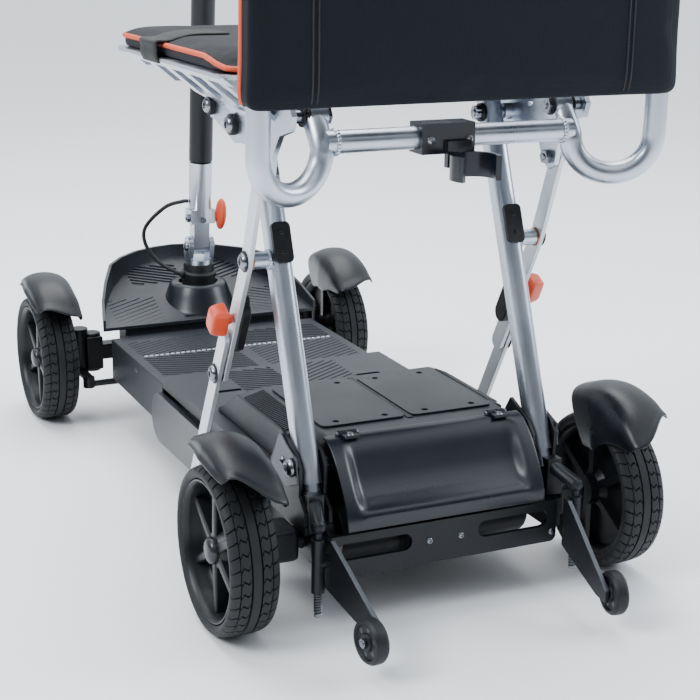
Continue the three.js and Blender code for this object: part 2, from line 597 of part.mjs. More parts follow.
const lowerLink = (s) => {
  const bar = alongX(barShape(LOWER_PIVOT, KNEE, LOWER_HALF, 0, 56), s * LOWER_X, s * (LOWER_X + 6), 6);
  return join(bar,
    rod([s * (LOWER_X + 5), ...LOWER_PIVOT], [s * (LOWER_X + 10), ...LOWER_PIVOT], 9, 12),
    rod([s * (LOWER_X + 5), ...KNEE], [s * (LOWER_X + 10), ...KNEE], 9, 12),
    rod([s * (LINK_X + 6 + GAP), ...KNEE], [s * (LOWER_X + 1), ...KNEE], 8, 12));
};
for (const [name, s] of SIDES) {
  add(`upper_link_${name}`, upperLink(s), FLAT_BAR);
  add(`lower_link_${name}`, lowerLink(s), FLAT_BAR);
  const knobAt = onLink(KNEE_TO_KNOB);
  const grip = new THREE.Shape();
  grip.absellipse(knobAt[0], knobAt[1], 10, 16, 0, 2 * Math.PI, false, linkAngle - Math.PI / 2);
  add(`lock_knob_${name}`, join(
    rod([s * (LINK_X + 6 + GAP), ...knobAt], [s * 202, ...knobAt], 6, 12),
    alongX(grip, s * 200, s * 220, 6)), ORANGE);
}

// ---- seat pan with its bracket plates
const bracketOutline = () => {
  const [ly, lz] = LINK_BEND;
  const [by, bz] = BACK_PIVOT;
  const top = legPoint(TOP_T);
  return polygon([
    [136, 546], [138, SEAT_PAN_Z + 2], [352, SEAT_PAN_Z + 2], [by + 6, bz + 15], [by + 16, bz + 2],
    [by + 10, bz - 14], [by - 18, bz - 22], [ly + 20, lz + 22], [ly + 13, lz - 8], [ly, lz - 15],
    [ly - 13, lz - 6], [ly - 26, lz + 22], [top[0] + 22, top[1] - 18], [top[0], top[1] - 21],
    [top[0] - 26, top[1] - 12], [160, 533], [144, 535],
  ]);
};
const seatPan = () => {
  let pan = alongZ(roundedRect(-SEAT_HALF, SEAT_HALF, SEAT_FRONT_Y, 352, 30),
    SEAT_PAN_Z, SEAT_PAN_Z + 4, 4);
  const foot = BRACKET_X + 4;
  const web = [[234, SEAT_PAN_Z + 2], [227, SEAT_PAN_Z + 2], [foot, 558], [foot, 552]];
  for (const [, s] of SIDES) {
    const [ty, tz] = legPoint(TOP_T);
    const slots = [10, 70, 130, 190, 250, 310].map((y) =>
      box(s * 186, s * 222, y + 8, y + 46, 540, 590));
    const rise = alongX(polygon([[-30, 594], [165, 550], [-30, 540]]), s * 170, s * 240);
    const sheet = cut(alongY(polygon(web.map(([x, z]) => [s * x, z])), -20, 340), rise, ...slots);
    const plate = alongX(bracketOutline(), s * BRACKET_X, s * (BRACKET_X + 6));
    const hole = (y, z, r) => rod([s * 160, y, z], [s * 190, y, z], r, 12);
    pan = join(pan, sheet, cut(plate, hole(188, 560, 8), hole(268, 556, 9)),
      rod([s * 124, ty, tz], [s * 176, ty, tz], 5, 12),
      rod([s * 124, ty, tz], [s * 131, ty, tz], 8.5, 6),
      rod([s * 162, ty, tz], [s * 174, ty, tz], 10, 14),
      rod([s * 176, ty, tz], [s * 183, ty, tz], 9, 12),
      rod([s * 160, 152, 549], [s * 184, 152, 549], 9, 12));
  }
  return pan;
};
add("seat_pan", seatPan(), SILVER);

add("seat_cushion", cut(
  alongZ(roundedRect(-SEAT_HALF + 1, SEAT_HALF - 1, SEAT_FRONT_Y, SEAT_REAR_Y, 34),
    SEAT_PAN_Z + 4 + GAP, CUSHION_TOP, 5),
  alongX(polygon([[SEAT_REAR_Y - 50, CUSHION_TOP], [SEAT_REAR_Y + 10, CUSHION_TOP - 20],
    [SEAT_REAR_Y + 10, CUSHION_TOP + 10], [SEAT_REAR_Y - 50, CUSHION_TOP + 10]]), -260, 260)), CUSHION);

// ---- backrest frame: bent tubes with hooks at the foot, a cross tube and a top bar
const backLegPath = (s) => {
  const points = [[BACK_HOOK_X, BACK_PIVOT[0] + 3, BACK_PIVOT[1] - 1], [BACK_HOOK_X, 388, 545]];
  const mid = (BACK_HOOK_X + BACK_LEG_X) / 2;
  const radius = (BACK_LEG_X - BACK_HOOK_X) / 2;
  const corner = 36;
  for (let i = 0; i <= 8; i++) {
    const angle = Math.PI + i * Math.PI / 8;
    const across = mid + radius * Math.cos(angle);
    points.push([across, 396 + 36 * (1 - Math.cos(i * Math.PI / 8)) / 2, 532 + radius * Math.sin(angle)]);
  }
  for (const z of [560, 700, BACK_TOP - 54]) points.push([BACK_LEG_X, BACK_TUBE_Y, z]);
  for (let i = 1; i <= 4; i++) {
    const angle = i * Math.PI / 8;
    points.push([BACK_LEG_X - corner + corner * Math.cos(angle), BACK_TUBE_Y,
      BACK_TOP - 54 + corner * Math.sin(angle)]);
  }
  points.push([100, BACK_TUBE_Y, BACK_TOP - 18], [-1, BACK_TUBE_Y, BACK_TOP - 18]);
  return points.map(([x, y, z]) => [s * x, y, z]);
};
const backLegs = (radius) => join(
  sweep(backLegPath(1), radius, 10, 44, 0.3), sweep(backLegPath(-1), radius, 10, 44, 0.3));
const backrestFrame = () => {
  let frame = join(backLegs(BACK_TUBE_R), rod([-146, ...BACK_CROSS], [146, ...BACK_CROSS], 12, 16));
  const [by, bz] = BACK_PIVOT;
  for (const [, s] of SIDES) {
    frame = join(frame,
      rod([s * 134, by, bz], [s * 155, by, bz], 14, 16),
      rod([s * 122, by, bz], [s * (BRACKET_X - GAP), by, bz], 7, 12),
      rod([s * 122, by, bz], [s * 131, by, bz], 9.5, 6));
  }
  return frame;
};
add("backrest_frame", backrestFrame(), SILVER);

const backrestPad = () => {
  const slab = alongZ(roundedRect(-BACK_HALF, BACK_HALF, 414, 452, 15), BACK_BOTTOM, BACK_TOP, 4);
  const channel = BACK_TUBE_R + 1.5;
  const pockets = SIDES.map(([, s]) =>
    box(s * (BACK_LEG_X - channel), s * (BACK_LEG_X + channel),
      BACK_TUBE_Y - channel, BACK_TUBE_Y + channel, BACK_BOTTOM - 10, BACK_TOP - 3));
  const top = box(-BACK_LEG_X - 4, BACK_LEG_X + 4, BACK_TUBE_Y - channel, BACK_TUBE_Y + channel,
    BACK_TOP - 74, BACK_TOP - 3);
  return cut(slab, ...pockets, top);
};
add("backrest_pad", backrestPad(), FABRIC);

const caneHolder = () => {
  const block = cut(box(-19, 43, 384, 414, 522, 554),
    rod([-30, ...BACK_CROSS], [60, ...BACK_CROSS], 12.4, 16));
  const ring = new THREE.Shape();
  ring.absarc(-5, 442, 27, Math.PI * 0.82, Math.PI * 2.18);
  ring.absarc(-5, 442, 21, Math.PI * 2.18, Math.PI * 0.82, true);
  return join(block, box(-12, 16, 412, 420, 508, 536), alongZ(ring, 498, 524, 14));
};
add("cane_holder", caneHolder(), BLACK_PLASTIC);

// ---- anti-tip arms and their small wheels
for (const [name, s] of SIDES) {
  const out = (r, side) => [
    s * (POST_X + r * Math.sin(CASTOR_TURN) + side * Math.cos(CASTOR_TURN)),
    POST_Y + r * Math.cos(CASTOR_TURN) - side * Math.sin(CASTOR_TURN),
  ];
  const tip = CASTOR_REACH + 8;
  const web = polygon([[-2, 58], [-2, 116], [10, 116], [tip, 50], [tip, 36], [92, 36]]);
  const sheet = extrude(web, 4);
  const back = new THREE.Vector3(s * Math.sin(CASTOR_TURN), Math.cos(CASTOR_TURN), 0);
  const side = new THREE.Vector3().crossVectors(back, new THREE.Vector3(0, 0, 1));
  sheet.applyMatrix4(new THREE.Matrix4().makeBasis(back, new THREE.Vector3(0, 0, 1), side));
  const start = s * side.x > 0 ? -14 : 10;
  const shift = side.clone().multiplyScalar(start);
  const plate = toSolid(sheet.translate(s * POST_X + shift.x, POST_Y + shift.y, 0));
  const sleeve = rod([s * POST_X, POST_Y, 56], [s * POST_X, POST_Y, 118], SLEEVE_R, 16);
  const bore = rod([s * POST_X, POST_Y, 20], [s * POST_X, POST_Y, 140], POST_R + GAP, 14);
  const knuckle = rod([...out(0, -13), 90], [...out(0, 0), 90], 8, 12);
  const lug = rod([...out(CASTOR_REACH, -14), CASTOR_Z], [...out(CASTOR_REACH, -8), CASTOR_Z], 6, 12);
  add(`anti_tip_arm_${name}`, join(cut(join(sleeve, plate, knuckle), bore), lug), BLACK_PAINT);
  const hub = [...out(CASTOR_REACH, 0), CASTOR_Z];
  const edge = CASTOR_R - 3.5;
  const section = [[4, -7.4], [11, -7.4], [edge, -6.4], [CASTOR_R, -3.5], [CASTOR_R, 3.5], [edge, 6.4],
    [11, 7.4], [4, 7.4], [4, -7.4]];
  const wheel = new THREE.LatheGeometry(section.map(([r, a]) => new THREE.Vector2(r, a)), 24);
  wheel.applyMatrix4(new THREE.Matrix4().makeRotationZ(-Math.PI / 2));
  wheel.applyMatrix4(new THREE.Matrix4().makeRotationZ(-s * CASTOR_TURN));
  add(`anti_tip_wheel_${name}`, toSolid(wheel.translate(...hub)), RUBBER);
}

export default group;
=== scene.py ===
# %% [markdown]
# # A folding mobility scooter
# The frame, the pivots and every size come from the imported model. This lesson dresses it: each sub-part
# gets a mesh fine enough to look at closely, and a material with grain, weave or brushing of its own.
# The scooter faces -Y, its left side is +X, and the helper `mm` turns millimetres into metres.

# %% The frame
import json
from math import atan2, cos, hypot, pi, radians, sin
import bmesh
import bpy
from mathutils import Matrix, Vector
from mathutils.bvhtree import BVHTree

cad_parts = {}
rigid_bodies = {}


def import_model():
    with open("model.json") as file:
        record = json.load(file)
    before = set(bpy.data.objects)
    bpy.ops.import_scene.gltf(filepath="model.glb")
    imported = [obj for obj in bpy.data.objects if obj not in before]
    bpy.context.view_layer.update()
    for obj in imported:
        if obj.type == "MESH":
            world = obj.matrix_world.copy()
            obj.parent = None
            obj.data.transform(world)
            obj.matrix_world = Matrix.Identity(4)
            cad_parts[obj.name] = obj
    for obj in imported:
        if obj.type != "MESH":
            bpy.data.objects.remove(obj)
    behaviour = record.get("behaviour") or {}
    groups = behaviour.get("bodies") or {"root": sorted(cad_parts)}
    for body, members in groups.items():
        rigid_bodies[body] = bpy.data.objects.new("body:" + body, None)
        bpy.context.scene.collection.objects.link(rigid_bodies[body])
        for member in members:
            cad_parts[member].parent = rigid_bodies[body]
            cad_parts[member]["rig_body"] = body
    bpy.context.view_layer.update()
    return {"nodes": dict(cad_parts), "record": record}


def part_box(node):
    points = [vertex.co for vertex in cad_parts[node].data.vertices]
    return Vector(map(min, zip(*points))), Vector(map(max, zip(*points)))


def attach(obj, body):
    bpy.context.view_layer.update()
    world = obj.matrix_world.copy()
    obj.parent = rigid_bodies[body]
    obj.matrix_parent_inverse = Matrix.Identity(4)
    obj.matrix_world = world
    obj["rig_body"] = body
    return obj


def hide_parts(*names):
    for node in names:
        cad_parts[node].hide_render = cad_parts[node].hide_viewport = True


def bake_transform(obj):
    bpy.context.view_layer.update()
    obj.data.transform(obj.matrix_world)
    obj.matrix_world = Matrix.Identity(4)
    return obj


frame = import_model()
nodes = frame["nodes"]
record = frame["record"]
BODY = {node: body for body, names in record["behaviour"]["bodies"].items() for node in names}
SLOT = {entry["node"]: entry["material_slot"] for entry in record["subparts"]}
PIVOT = {j["name"]: Vector(j["pos_m"]) for j in record["behaviour"]["joints"] if "pos_m" in j}
SIDES = (("left", 1), ("right", -1))


def mm(x, y, z):
    return Vector((x, y, z)) * 0.001


# %% [markdown]
# ## Shader nodes
# Every material, node group and the sky is a small tree of nodes. One helper adds a node with its settings,
# and another gives each input a number or a link, so that a tree reads as a list of what feeds what.

# %% Shader nodes
def feed(tree, node, inputs):
    """Give each input of a node a value, or link it to the socket given."""
    for key, value in inputs.items():
        if isinstance(value, bpy.types.NodeSocket):
            tree.links.new(value, node.inputs[key])
        else:
            node.inputs[key].default_value = value


def add(tree, kind, inputs, **settings):
    node = tree.nodes.new("ShaderNode" + kind)
    for key, value in settings.items():
        setattr(node, key, value)
    feed(tree, node, inputs)
    return node


print("shader helpers", feed.__name__, add.__name__)

# %% [markdown]
# ## Camera, floor and light
# The camera looks from behind the left shoulder of the scooter with a long lens, a little downwards.
# The studio is a pale floor under a white sky, with three large soft lamps that draw long highlights on the
# tubes. A cool key light gives the silver its bluish edge.

# %% Camera
CAMERA_AT = Vector((0.7699, 1.8150, 0.7638))
yaw, pitch, roll = radians(24.8), radians(16.0), radians(0.68)
look = Vector((-sin(yaw) * cos(pitch), -cos(yaw) * cos(pitch), -sin(pitch)))
across = Vector((-cos(yaw), sin(yaw), 0))
upward = across.cross(look)
right = across * cos(roll) + upward * sin(roll)
turned_up = upward * cos(roll) - across * sin(roll)
camera_data = bpy.data.cameras.new("camera")
camera_data.lens = 78.7
camera_data.sensor_width = 36
camera = bpy.data.objects.new("camera", camera_data)
camera.matrix_world = Matrix((
    (right.x, turned_up.x, -look.x, CAMERA_AT.x),
    (right.y, turned_up.y, -look.y, CAMERA_AT.y),
    (right.z, turned_up.z, -look.z, CAMERA_AT.z),
    (0, 0, 0, 1)))
bpy.context.scene.collection.objects.link(camera)
bpy.context.scene.camera = camera


# %% Floor and lamps
BRIGHT_SIDE = (-0.10, -0.30, 0.95)
LAMPS = (
    ("key", (2.6, 0.6, 2.4), 1.2, 85, (0.92, 0.96, 1.0)),
    ("fill", (-2.6, 1.0, 1.6), 1.2, 45, (0.84, 0.92, 1.0)),
    ("top", (0.0, -1.0, 3.0), 2.6, 95, (1.0, 1.0, 1.0)),
)


def studio():
    bm = bmesh.new()
    bmesh.ops.create_grid(bm, x_segments=1, y_segments=1, size=30)
    mesh = bpy.data.meshes.new("floor")
    bm.to_mesh(mesh)
    floor = bpy.data.objects.new("floor", mesh)
    floor.location.z = -0.0005
    paint = bpy.data.materials.new("floor_white")
    paint.use_nodes = True
    feed(paint.node_tree, paint.node_tree.nodes["Principled BSDF"],
         {"Base Color": (0.93, 0.93, 0.94, 1), "Roughness": 0.9})
    mesh.materials.append(paint)
    bpy.context.scene.collection.objects.link(floor)
    world = bpy.data.worlds.new("white_studio")
    world.use_nodes = True
    sky = world.node_tree
    direction = add(sky, "TexCoord", {}).outputs["Generated"]
    height = add(sky, "VectorMath", {0: direction, 1: BRIGHT_SIDE}, operation="DOT_PRODUCT")
    ramp = add(sky, "MapRange", {"Value": height.outputs["Value"], "From Min": -0.05, "From Max": 0.95,
                                 "To Min": 0.08, "To Max": 2.1}, interpolation_type="SMOOTHSTEP")
    feed(sky, sky.nodes["Background"], {"Strength": ramp.outputs["Result"], "Color": (0.88, 0.94, 1, 1)})
    bpy.context.scene.world = world
    for name, place, size, power, colour in LAMPS:
        lamp = bpy.data.lights.new(name, "AREA")
        lamp.size = size
        lamp.energy = power
        lamp.color = colour
        holder = bpy.data.objects.new(name, lamp)
        holder.location = place
        holder.rotation_euler = (Vector((0, 0, 0.3)) - holder.location).to_track_quat("-Z", "Y").to_euler()
        bpy.context.scene.collection.objects.link(holder)


studio()
print("lens", camera_data.lens, "lamps", len(LAMPS))

# %% [markdown]
# ## Finishes
# Nearly everything is a moulded, painted or brushed surface, so one node group gives all of them their
# grain: a fine noise for the bump and a broad one for the slow change of shade. Each material places the
# group with its own scale. A second group draws a weave from crossed waves, for the covers and the webbing.
# Every slot of the frame has its finish, and every finish is listed with a slot.


# %% Node groups
def node_group(name):
    tree = bpy.data.node_groups.new(name, "ShaderNodeTree")
    tree.interface.new_socket("Vector", in_out="INPUT", socket_type="NodeSocketVector")
    for number in ("Scale", "Broad scale"):
        tree.interface.new_socket(number, in_out="INPUT", socket_type="NodeSocketFloat")
    for output in ("Height", "Shade"):
        tree.interface.new_socket(output, in_out="OUTPUT", socket_type="NodeSocketFloat")
    given = tree.nodes.new("NodeGroupInput")
    return tree, given.outputs[:3], tree.nodes.new("NodeGroupOutput")


def grain_group():
    tree, (place, scale, broad_scale), out = node_group("Surface grain")
    fine = add(tree, "TexNoise", {"Vector": place, "Scale": scale, "Detail": 3})
    broad = add(tree, "TexNoise", {"Vector": place, "Scale": broad_scale, "Detail": 5})
    feed(tree, out, {"Height": fine.outputs["Fac"], "Shade": broad.outputs["Fac"]})
    return tree


def weave_group():
    tree, (place, scale, broad_scale), out = node_group("Crossed weave")
    warp, weft, depth = (
        add(tree, "TexWave", {"Vector": place, "Scale": scale, "Distortion": 0.6, "Detail": 1},
            bands_direction=axis).outputs["Fac"] for axis in ("X", "Z", "Y"))
    crossed = add(tree, "Math", {0: warp, 1: weft}, operation="MULTIPLY")
    threads = add(tree, "Math", {0: crossed.outputs[0], 1: depth}, operation="ADD")
    broad = add(tree, "TexNoise", {"Vector": place, "Scale": broad_scale})
    feed(tree, out, {"Height": threads.outputs[0], "Shade": broad.outputs["Fac"]})
    return tree


GRAIN = grain_group()
WEAVE = weave_group()
print("node groups", GRAIN.name, WEAVE.name)


# %% One function for every finish
def finish(name, dark, light, rough, metal=0.0, scale=900, broad=14, bump=0.12, stretch=(1, 1, 1),
           coat=0.0, sheen=0.0, pattern=GRAIN, specular=0.5):
    material = bpy.data.materials.new(name)
    material.use_nodes = True
    tree = material.node_tree
    place = add(tree, "TexCoord", {}).outputs["Object"]
    mapping = add(tree, "Mapping", {"Vector": place, "Scale": stretch})
    grain = add(tree, "Group", {"Vector": mapping.outputs["Vector"], "Scale": scale, "Broad scale": broad},
                node_tree=pattern)
    shade = grain.outputs["Shade"]
    tint = add(tree, "Mix", {"Factor": shade, "A": (*dark, 1), "B": (*light, 1)}, data_type="RGBA")
    gloss = add(tree, "MapRange", {"Value": shade, "From Min": 0.3, "From Max": 0.7,
                                   "To Min": rough - 0.06, "To Max": rough + 0.06})
    relief = add(tree, "Bump", {"Height": grain.outputs["Height"], "Strength": bump, "Distance": 0.0004})
    feed(tree, tree.nodes["Principled BSDF"], {
        "Base Color": tint.outputs["Result"], "Roughness": gloss.outputs["Result"],
        "Normal": relief.outputs["Normal"], "Metallic": metal, "Specular IOR Level": specular,
        "Coat Weight": coat, "Coat Roughness": 0.25, "Sheen Weight": sheen, "Sheen Roughness": 0.5})
    return material


# %% The finishes of this scooter
SILVER = finish("brushed_silver", (0.44, 0.48, 0.55), (0.58, 0.62, 0.69),
                0.32, 1.0, 700, 9, 0.10, (3, 3, 0.12))
BRIGHT = finish("bright_flat_bar", (0.60, 0.63, 0.67), (0.74, 0.77, 0.80),
                0.42, 0.6, 900, 8, 0.06, (3, 3, 0.2))
ZINC = finish("zinc_bolts", (0.17, 0.18, 0.20), (0.30, 0.31, 0.34), 0.27, 1.0, 1500, 60, 0.05)
PLATE = finish("grey_plate", (0.06, 0.065, 0.075), (0.11, 0.12, 0.13), 0.40, 0.85, 900, 30, 0.08)
COPPER = finish("copper_washer", (0.30, 0.13, 0.07), (0.48, 0.22, 0.12), 0.32, 1.0, 1200, 80, 0.05)
PAINT = finish("black_powder_coat", (0.0035, 0.0045, 0.006), (0.008, 0.010, 0.013),
               0.40, 0, 2200, 12, 0.25, specular=0.32)
DECK = finish("charcoal_moulding", (0.007, 0.009, 0.013), (0.013, 0.016, 0.022), 0.42, 0, 2600, 7, 0.40,
              specular=0.42)
GLOSS = finish("black_moulding", (0.003, 0.0045, 0.008), (0.007, 0.010, 0.016), 0.29, 0, 1400, 6, 0.08)
FENDER = finish("mudguard_black", (0.003, 0.004, 0.006), (0.006, 0.007, 0.010), 0.33, 0, 2400, 8, 0.18,
                specular=0.34)
RIM = finish("rim_black", (0.003, 0.004, 0.005), (0.008, 0.009, 0.011),
             0.36, 0, 1800, 20, 0.15, specular=0.32)
TYRE = finish("tyre_rubber", (0.005, 0.006, 0.007), (0.012, 0.013, 0.015),
              0.60, 0, 1500, 25, 0.35, specular=0.35)
RUBBER = finish("black_rubber", (0.004, 0.0045, 0.006), (0.009, 0.010, 0.012),
                0.52, 0, 1500, 30, 0.2, specular=0.35)
ORANGE = finish("orange_moulding", (0.66, 0.050, 0.012), (0.80, 0.085, 0.020),
                0.42, 0, 900, 25, 0.10, coat=0.2)
NEOPRENE = finish("neoprene", (0.0018, 0.0028, 0.006), (0.005, 0.007, 0.013),
                  0.72, 0, 190, 9, 0.30, sheen=0.03, pattern=WEAVE, specular=0.18)
CLOTH = finish("charcoal_cloth", (0.009, 0.010, 0.012), (0.020, 0.021, 0.024),
               0.85, 0, 150, 18, 0.55, sheen=0.06, pattern=WEAVE, specular=0.25)
WEBBING = finish("webbing", (0.004, 0.004, 0.005), (0.009, 0.009, 0.010), 0.7, 0, 120, 20, 0.8, pattern=WEAVE)
PIPING = finish("orange_piping", (0.60, 0.06, 0.014), (0.74, 0.10, 0.026),
                0.6, 0, 260, 30, 0.5, pattern=WEAVE)
HUB = finish("hub_cap_grey", (0.018, 0.020, 0.024), (0.032, 0.034, 0.040), 0.26, 0.35, 900, 30, 0.06)
SCREEN = finish("display_glass", (0.010, 0.014, 0.018), (0.014, 0.018, 0.022), 0.12, 0, 400, 5, 0.0)
FINISH = {
    "tyre": TYRE, "wheel_plastic": RIM, "fender": FENDER, "deck_plastic": DECK, "gloss_black": GLOSS,
    "silver_metal": SILVER, "bright_bar": BRIGHT, "orange_plastic": ORANGE, "black_rubber": RUBBER,
    "cushion_fabric": CLOTH, "neoprene": NEOPRENE, "black_paint": PAINT,
}
SLOT_OF = {material.name: slot for slot, material in FINISH.items()}
SLOT_OF.update({material.name: "bright_bar" for material in (ZINC, PLATE, COPPER)})
SLOT_OF.update({HUB.name: "wheel_plastic", WEBBING.name: "black_rubber", PIPING.name: "orange_plastic",
                SCREEN.name: "gloss_black"})
FINISH.update({"castor": RUBBER, "battery_case": DECK})
print("finishes", len(bpy.data.materials))

# %% [markdown]
# ## Mesh helpers
# `piece` turns a bmesh into a finished object that rides on its body. `refined` dresses a node of the frame:
# the loose triangles are merged, flat faces are joined, and a small bevel rounds the edges so that they catch
# light. `spun` turns a half outline about an axis, and `bar` is a flat bar with round ends.


# %% Pieces
def piece(name, bm, body, material, bevel=0.0, stands_for=(), smooth=32, layers=2):
    """A finished piece that rides on a body."""
    mesh = bpy.data.meshes.new(name)
    bm.to_mesh(mesh)
    bm.free()
    mesh.materials.append(material)
    mesh.shade_smooth()
    mesh.set_sharp_from_angle(angle=radians(smooth))
    thing = bpy.data.objects.new(name, mesh)
    bpy.context.scene.collection.objects.link(thing)
    if bevel:
        edge = thing.modifiers.new("edge", "BEVEL")
        edge.width = bevel * 0.001
        edge.segments = layers
        edge.limit_method = "ANGLE"
        edge.angle_limit = radians(35)
        edge.harden_normals = True
    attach(thing, body)
    for node in stands_for:
        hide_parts(node)
    print(name, len(mesh.vertices), "points")
    return thing


def thicken(thing, thickness, offset):
    wall = thing.modifiers.new("wall", "SOLIDIFY")
    wall.thickness = thickness
    wall.offset = offset


def soften(thing, levels):
    soft = thing.modifiers.new("soft", "SUBSURF")
    soft.levels = soft.render_levels = levels


def refined(node, bevel, layers=2):
    bm = bmesh.new()
    bm.from_mesh(nodes[node].data)
    bmesh.ops.remove_doubles(bm, verts=bm.verts, dist=2e-5)
    bmesh.ops.dissolve_limit(bm, angle_limit=radians(1.5), verts=bm.verts, edges=bm.edges)
    return piece(f"{node}_part", bm, BODY[node], FINISH[SLOT[node]], bevel, [node], layers=layers)


def pour(bm, part, place=Matrix()):
    bmesh.ops.transform(part, matrix=place, verts=part.verts)
    if place.determinant() < 0:
        bmesh.ops.reverse_faces(part, faces=part.faces)
    carrier = bpy.data.meshes.new("carrier")
    part.to_mesh(carrier)
    part.free()
    bm.from_mesh(carrier)
    bpy.data.meshes.remove(carrier)


def spun(outline, steps=32):
    part = bmesh.new()
    points = [part.verts.new((r * 0.001, 0, h * 0.001)) for r, h in outline]
    for a, b in zip(points, points[1:]):
        part.edges.new((a, b))
    bmesh.ops.spin(part, geom=part.verts[:] + part.edges[:], cent=(0, 0, 0), axis=(0, 0, 1),
                   angle=2 * pi, steps=steps, use_merge=True)
    bmesh.ops.remove_doubles(part, verts=part.verts, dist=1e-6)
    bmesh.ops.recalc_face_normals(part, faces=part.faces)
    return part


def facing(start, direction):
    turn = Vector((0, 0, 1)).rotation_difference(Vector(direction).normalized()).to_matrix().to_4x4()
    return Matrix.Translation(start) @ turn


def rod(bm, start, end, radius, steps=28, end_radius=None):
    length = (end - start).length
    part = bmesh.new()
    bmesh.ops.create_cone(part, cap_ends=True, segments=steps, radius1=radius * 0.001,
                          radius2=(radius if end_radius is None else end_radius) * 0.001, depth=length)
    pour(bm, part, facing(start, end - start) @ Matrix.Translation((0, 0, length / 2)))


def block(bm, low, high, turn=None):
    part = bmesh.new()
    bmesh.ops.create_cube(part, size=1)
    size = high - low
    place = Matrix.Translation((low + high) / 2) @ (turn or Matrix()) @ Matrix.Diagonal((*size, 1))
    pour(bm, part, place)


def draw_out(part, face, shift):
    """Extrude one face by a vector."""
    grown = bmesh.ops.extrude_face_region(part, geom=[face])
    moved = [g for g in grown["geom"] if isinstance(g, bmesh.types.BMVert)]
    bmesh.ops.translate(part, verts=moved, vec=shift)


def outline_plate(bm, points, x0, x1):
    """A plate whose outline is drawn in (y, z), from x0 to x1, all in millimetres."""
    part = bmesh.new()
    face = part.faces.new([part.verts.new(mm(x0, y, z)) for y, z in points])
    draw_out(part, face, mm(x1 - x0, 0, 0))
    bmesh.ops.recalc_face_normals(part, faces=part.faces)
    pour(bm, part)


def round_end(center, angle, radius, steps=12):
    return [(center[0] + radius * cos(angle + pi * (i / steps - 0.5)),
             center[1] + radius * sin(angle + pi * (i / steps - 0.5))) for i in range(steps + 1)]


def bar(bm, points, half_width, x0, x1):
    """A flat bar through two or three (y, z) points, with round ends and a mitred bend."""
    angles = [atan2(b[1] - a[1], b[0] - a[0]) for a, b in zip(points, points[1:])]
    end = round_end(points[-1], angles[-1], half_width)
    start = round_end(points[0], angles[0] + pi, half_width)
    bends = []
    for side in (1, -1):
        row = []
        for i, point in enumerate(points[1:-1]):
            middle = (angles[i] + angles[i + 1]) / 2 + side * pi / 2
            reach = half_width / cos((angles[i + 1] - angles[i]) / 2)
            row.append((point[0] + reach * cos(middle), point[1] + reach * sin(middle)))
        bends.append(row)
    outline_plate(bm, end + bends[0][::-1] + start + bends[1], x0, x1)


def bolt_head(bm, start, direction, radius=9, height=5):
    """A button head with a round socket in its crown."""
    r, h = radius, height
    outline = [(0, h * 0.35), (r * 0.34, h * 0.35), (r * 0.40, h), (r * 0.62, h * 0.93), (r * 0.84, h * 0.66),
               (r * 0.97, h * 0.28), (r, 0), (0, 0)]
    pour(bm, spun(outline, 24), facing(start, direction))


def nut(bm, start, direction, radius=8, height=6):
    part = bmesh.new()
    bmesh.ops.create_cone(part, cap_ends=True, segments=6, radius1=radius * 0.001, radius2=radius * 0.001,
                          depth=height * 0.001)
    pour(bm, part, facing(start, direction) @ Matrix.Translation((0, 0, height * 0.0005)))
    outline = [(0, height + 2), (radius * 0.42, height + 1.6), (radius * 0.5, height - 1), (0, height - 1)]
    pour(bm, spun(outline, 18), facing(start, direction))


def pin(bm, s, x0, x1, at, radius, steps=28):
    """A rod across the scooter on side s, from x0 to x1, through the pivot `at`."""
    rod(bm, mm(s * x0, at.y, at.z), mm(s * x1, at.y, at.z), radius, steps)


def side_bolt(bm, s, x, at, radius, height):
    bolt_head(bm, mm(s * x, at.y, at.z), (s, 0, 0), radius, height)


def side_nut(bm, s, x, at, radius, height):
    nut(bm, mm(s * x, at.y, at.z), (-s, 0, 0), radius, height)


def swept(points, radius, resolution=6):
    """The mesh of a round tube through a list of points, as a bmesh."""
    curve = bpy.data.curves.new("path", "CURVE")
    curve.dimensions = "3D"
    curve.bevel_depth = radius * 0.001
    curve.bevel_resolution = resolution
    curve.use_fill_caps = True
    spline = curve.splines.new("POLY")
    spline.points.add(len(points) - 1)
    for target, point in zip(spline.points, points):
        target.co = (*point, 1)
        target.radius = 1
    holder = bpy.data.objects.new("path", curve)
    bpy.context.scene.collection.objects.link(holder)
    mesh = bpy.data.meshes.new_from_object(holder)
    bpy.data.objects.remove(holder)
    bpy.data.curves.remove(curve)
    bm = bmesh.new()
    bm.from_mesh(mesh)
    bpy.data.meshes.remove(mesh)
    bmesh.ops.remove_doubles(bm, verts=bm.verts, dist=1e-6)
    bmesh.ops.recalc_face_normals(bm, faces=bm.faces)
    return bm


def smooth_route(points, steps=6):
    """Points along a smooth curve through the given ones."""
    route = []
    padded = [points[0] * 2 - points[1], *points, points[-1] * 2 - points[-2]]
    for a, b, c, d in zip(padded, padded[1:], padded[2:], padded[3:]):
        for i in range(steps):
            t = i / steps
            route.append(0.5 * (2 * b + (c - a) * t + (2 * a - 5 * b + 4 * c - d) * t ** 2
                                + (3 * b - 3 * c + d - a) * t ** 3))
    return [*route, points[-1]]


print("mesh helpers ready,", len(smooth_route([mm(0, 0, 0), mm(1, 0, 0)])), "points on a short route")

# %% [markdown]
# ## Wheels
# The solid tyre has a smooth centre rib between two grooves, zigzag sipes on both bands and cut shoulders.
# It is a spun section whose columns are first bent into the zigzag, and then every twelfth column is pressed
# in, so that the sipes keep crisp walls. The rim is a dish with six thin spokes and a domed hub cap.

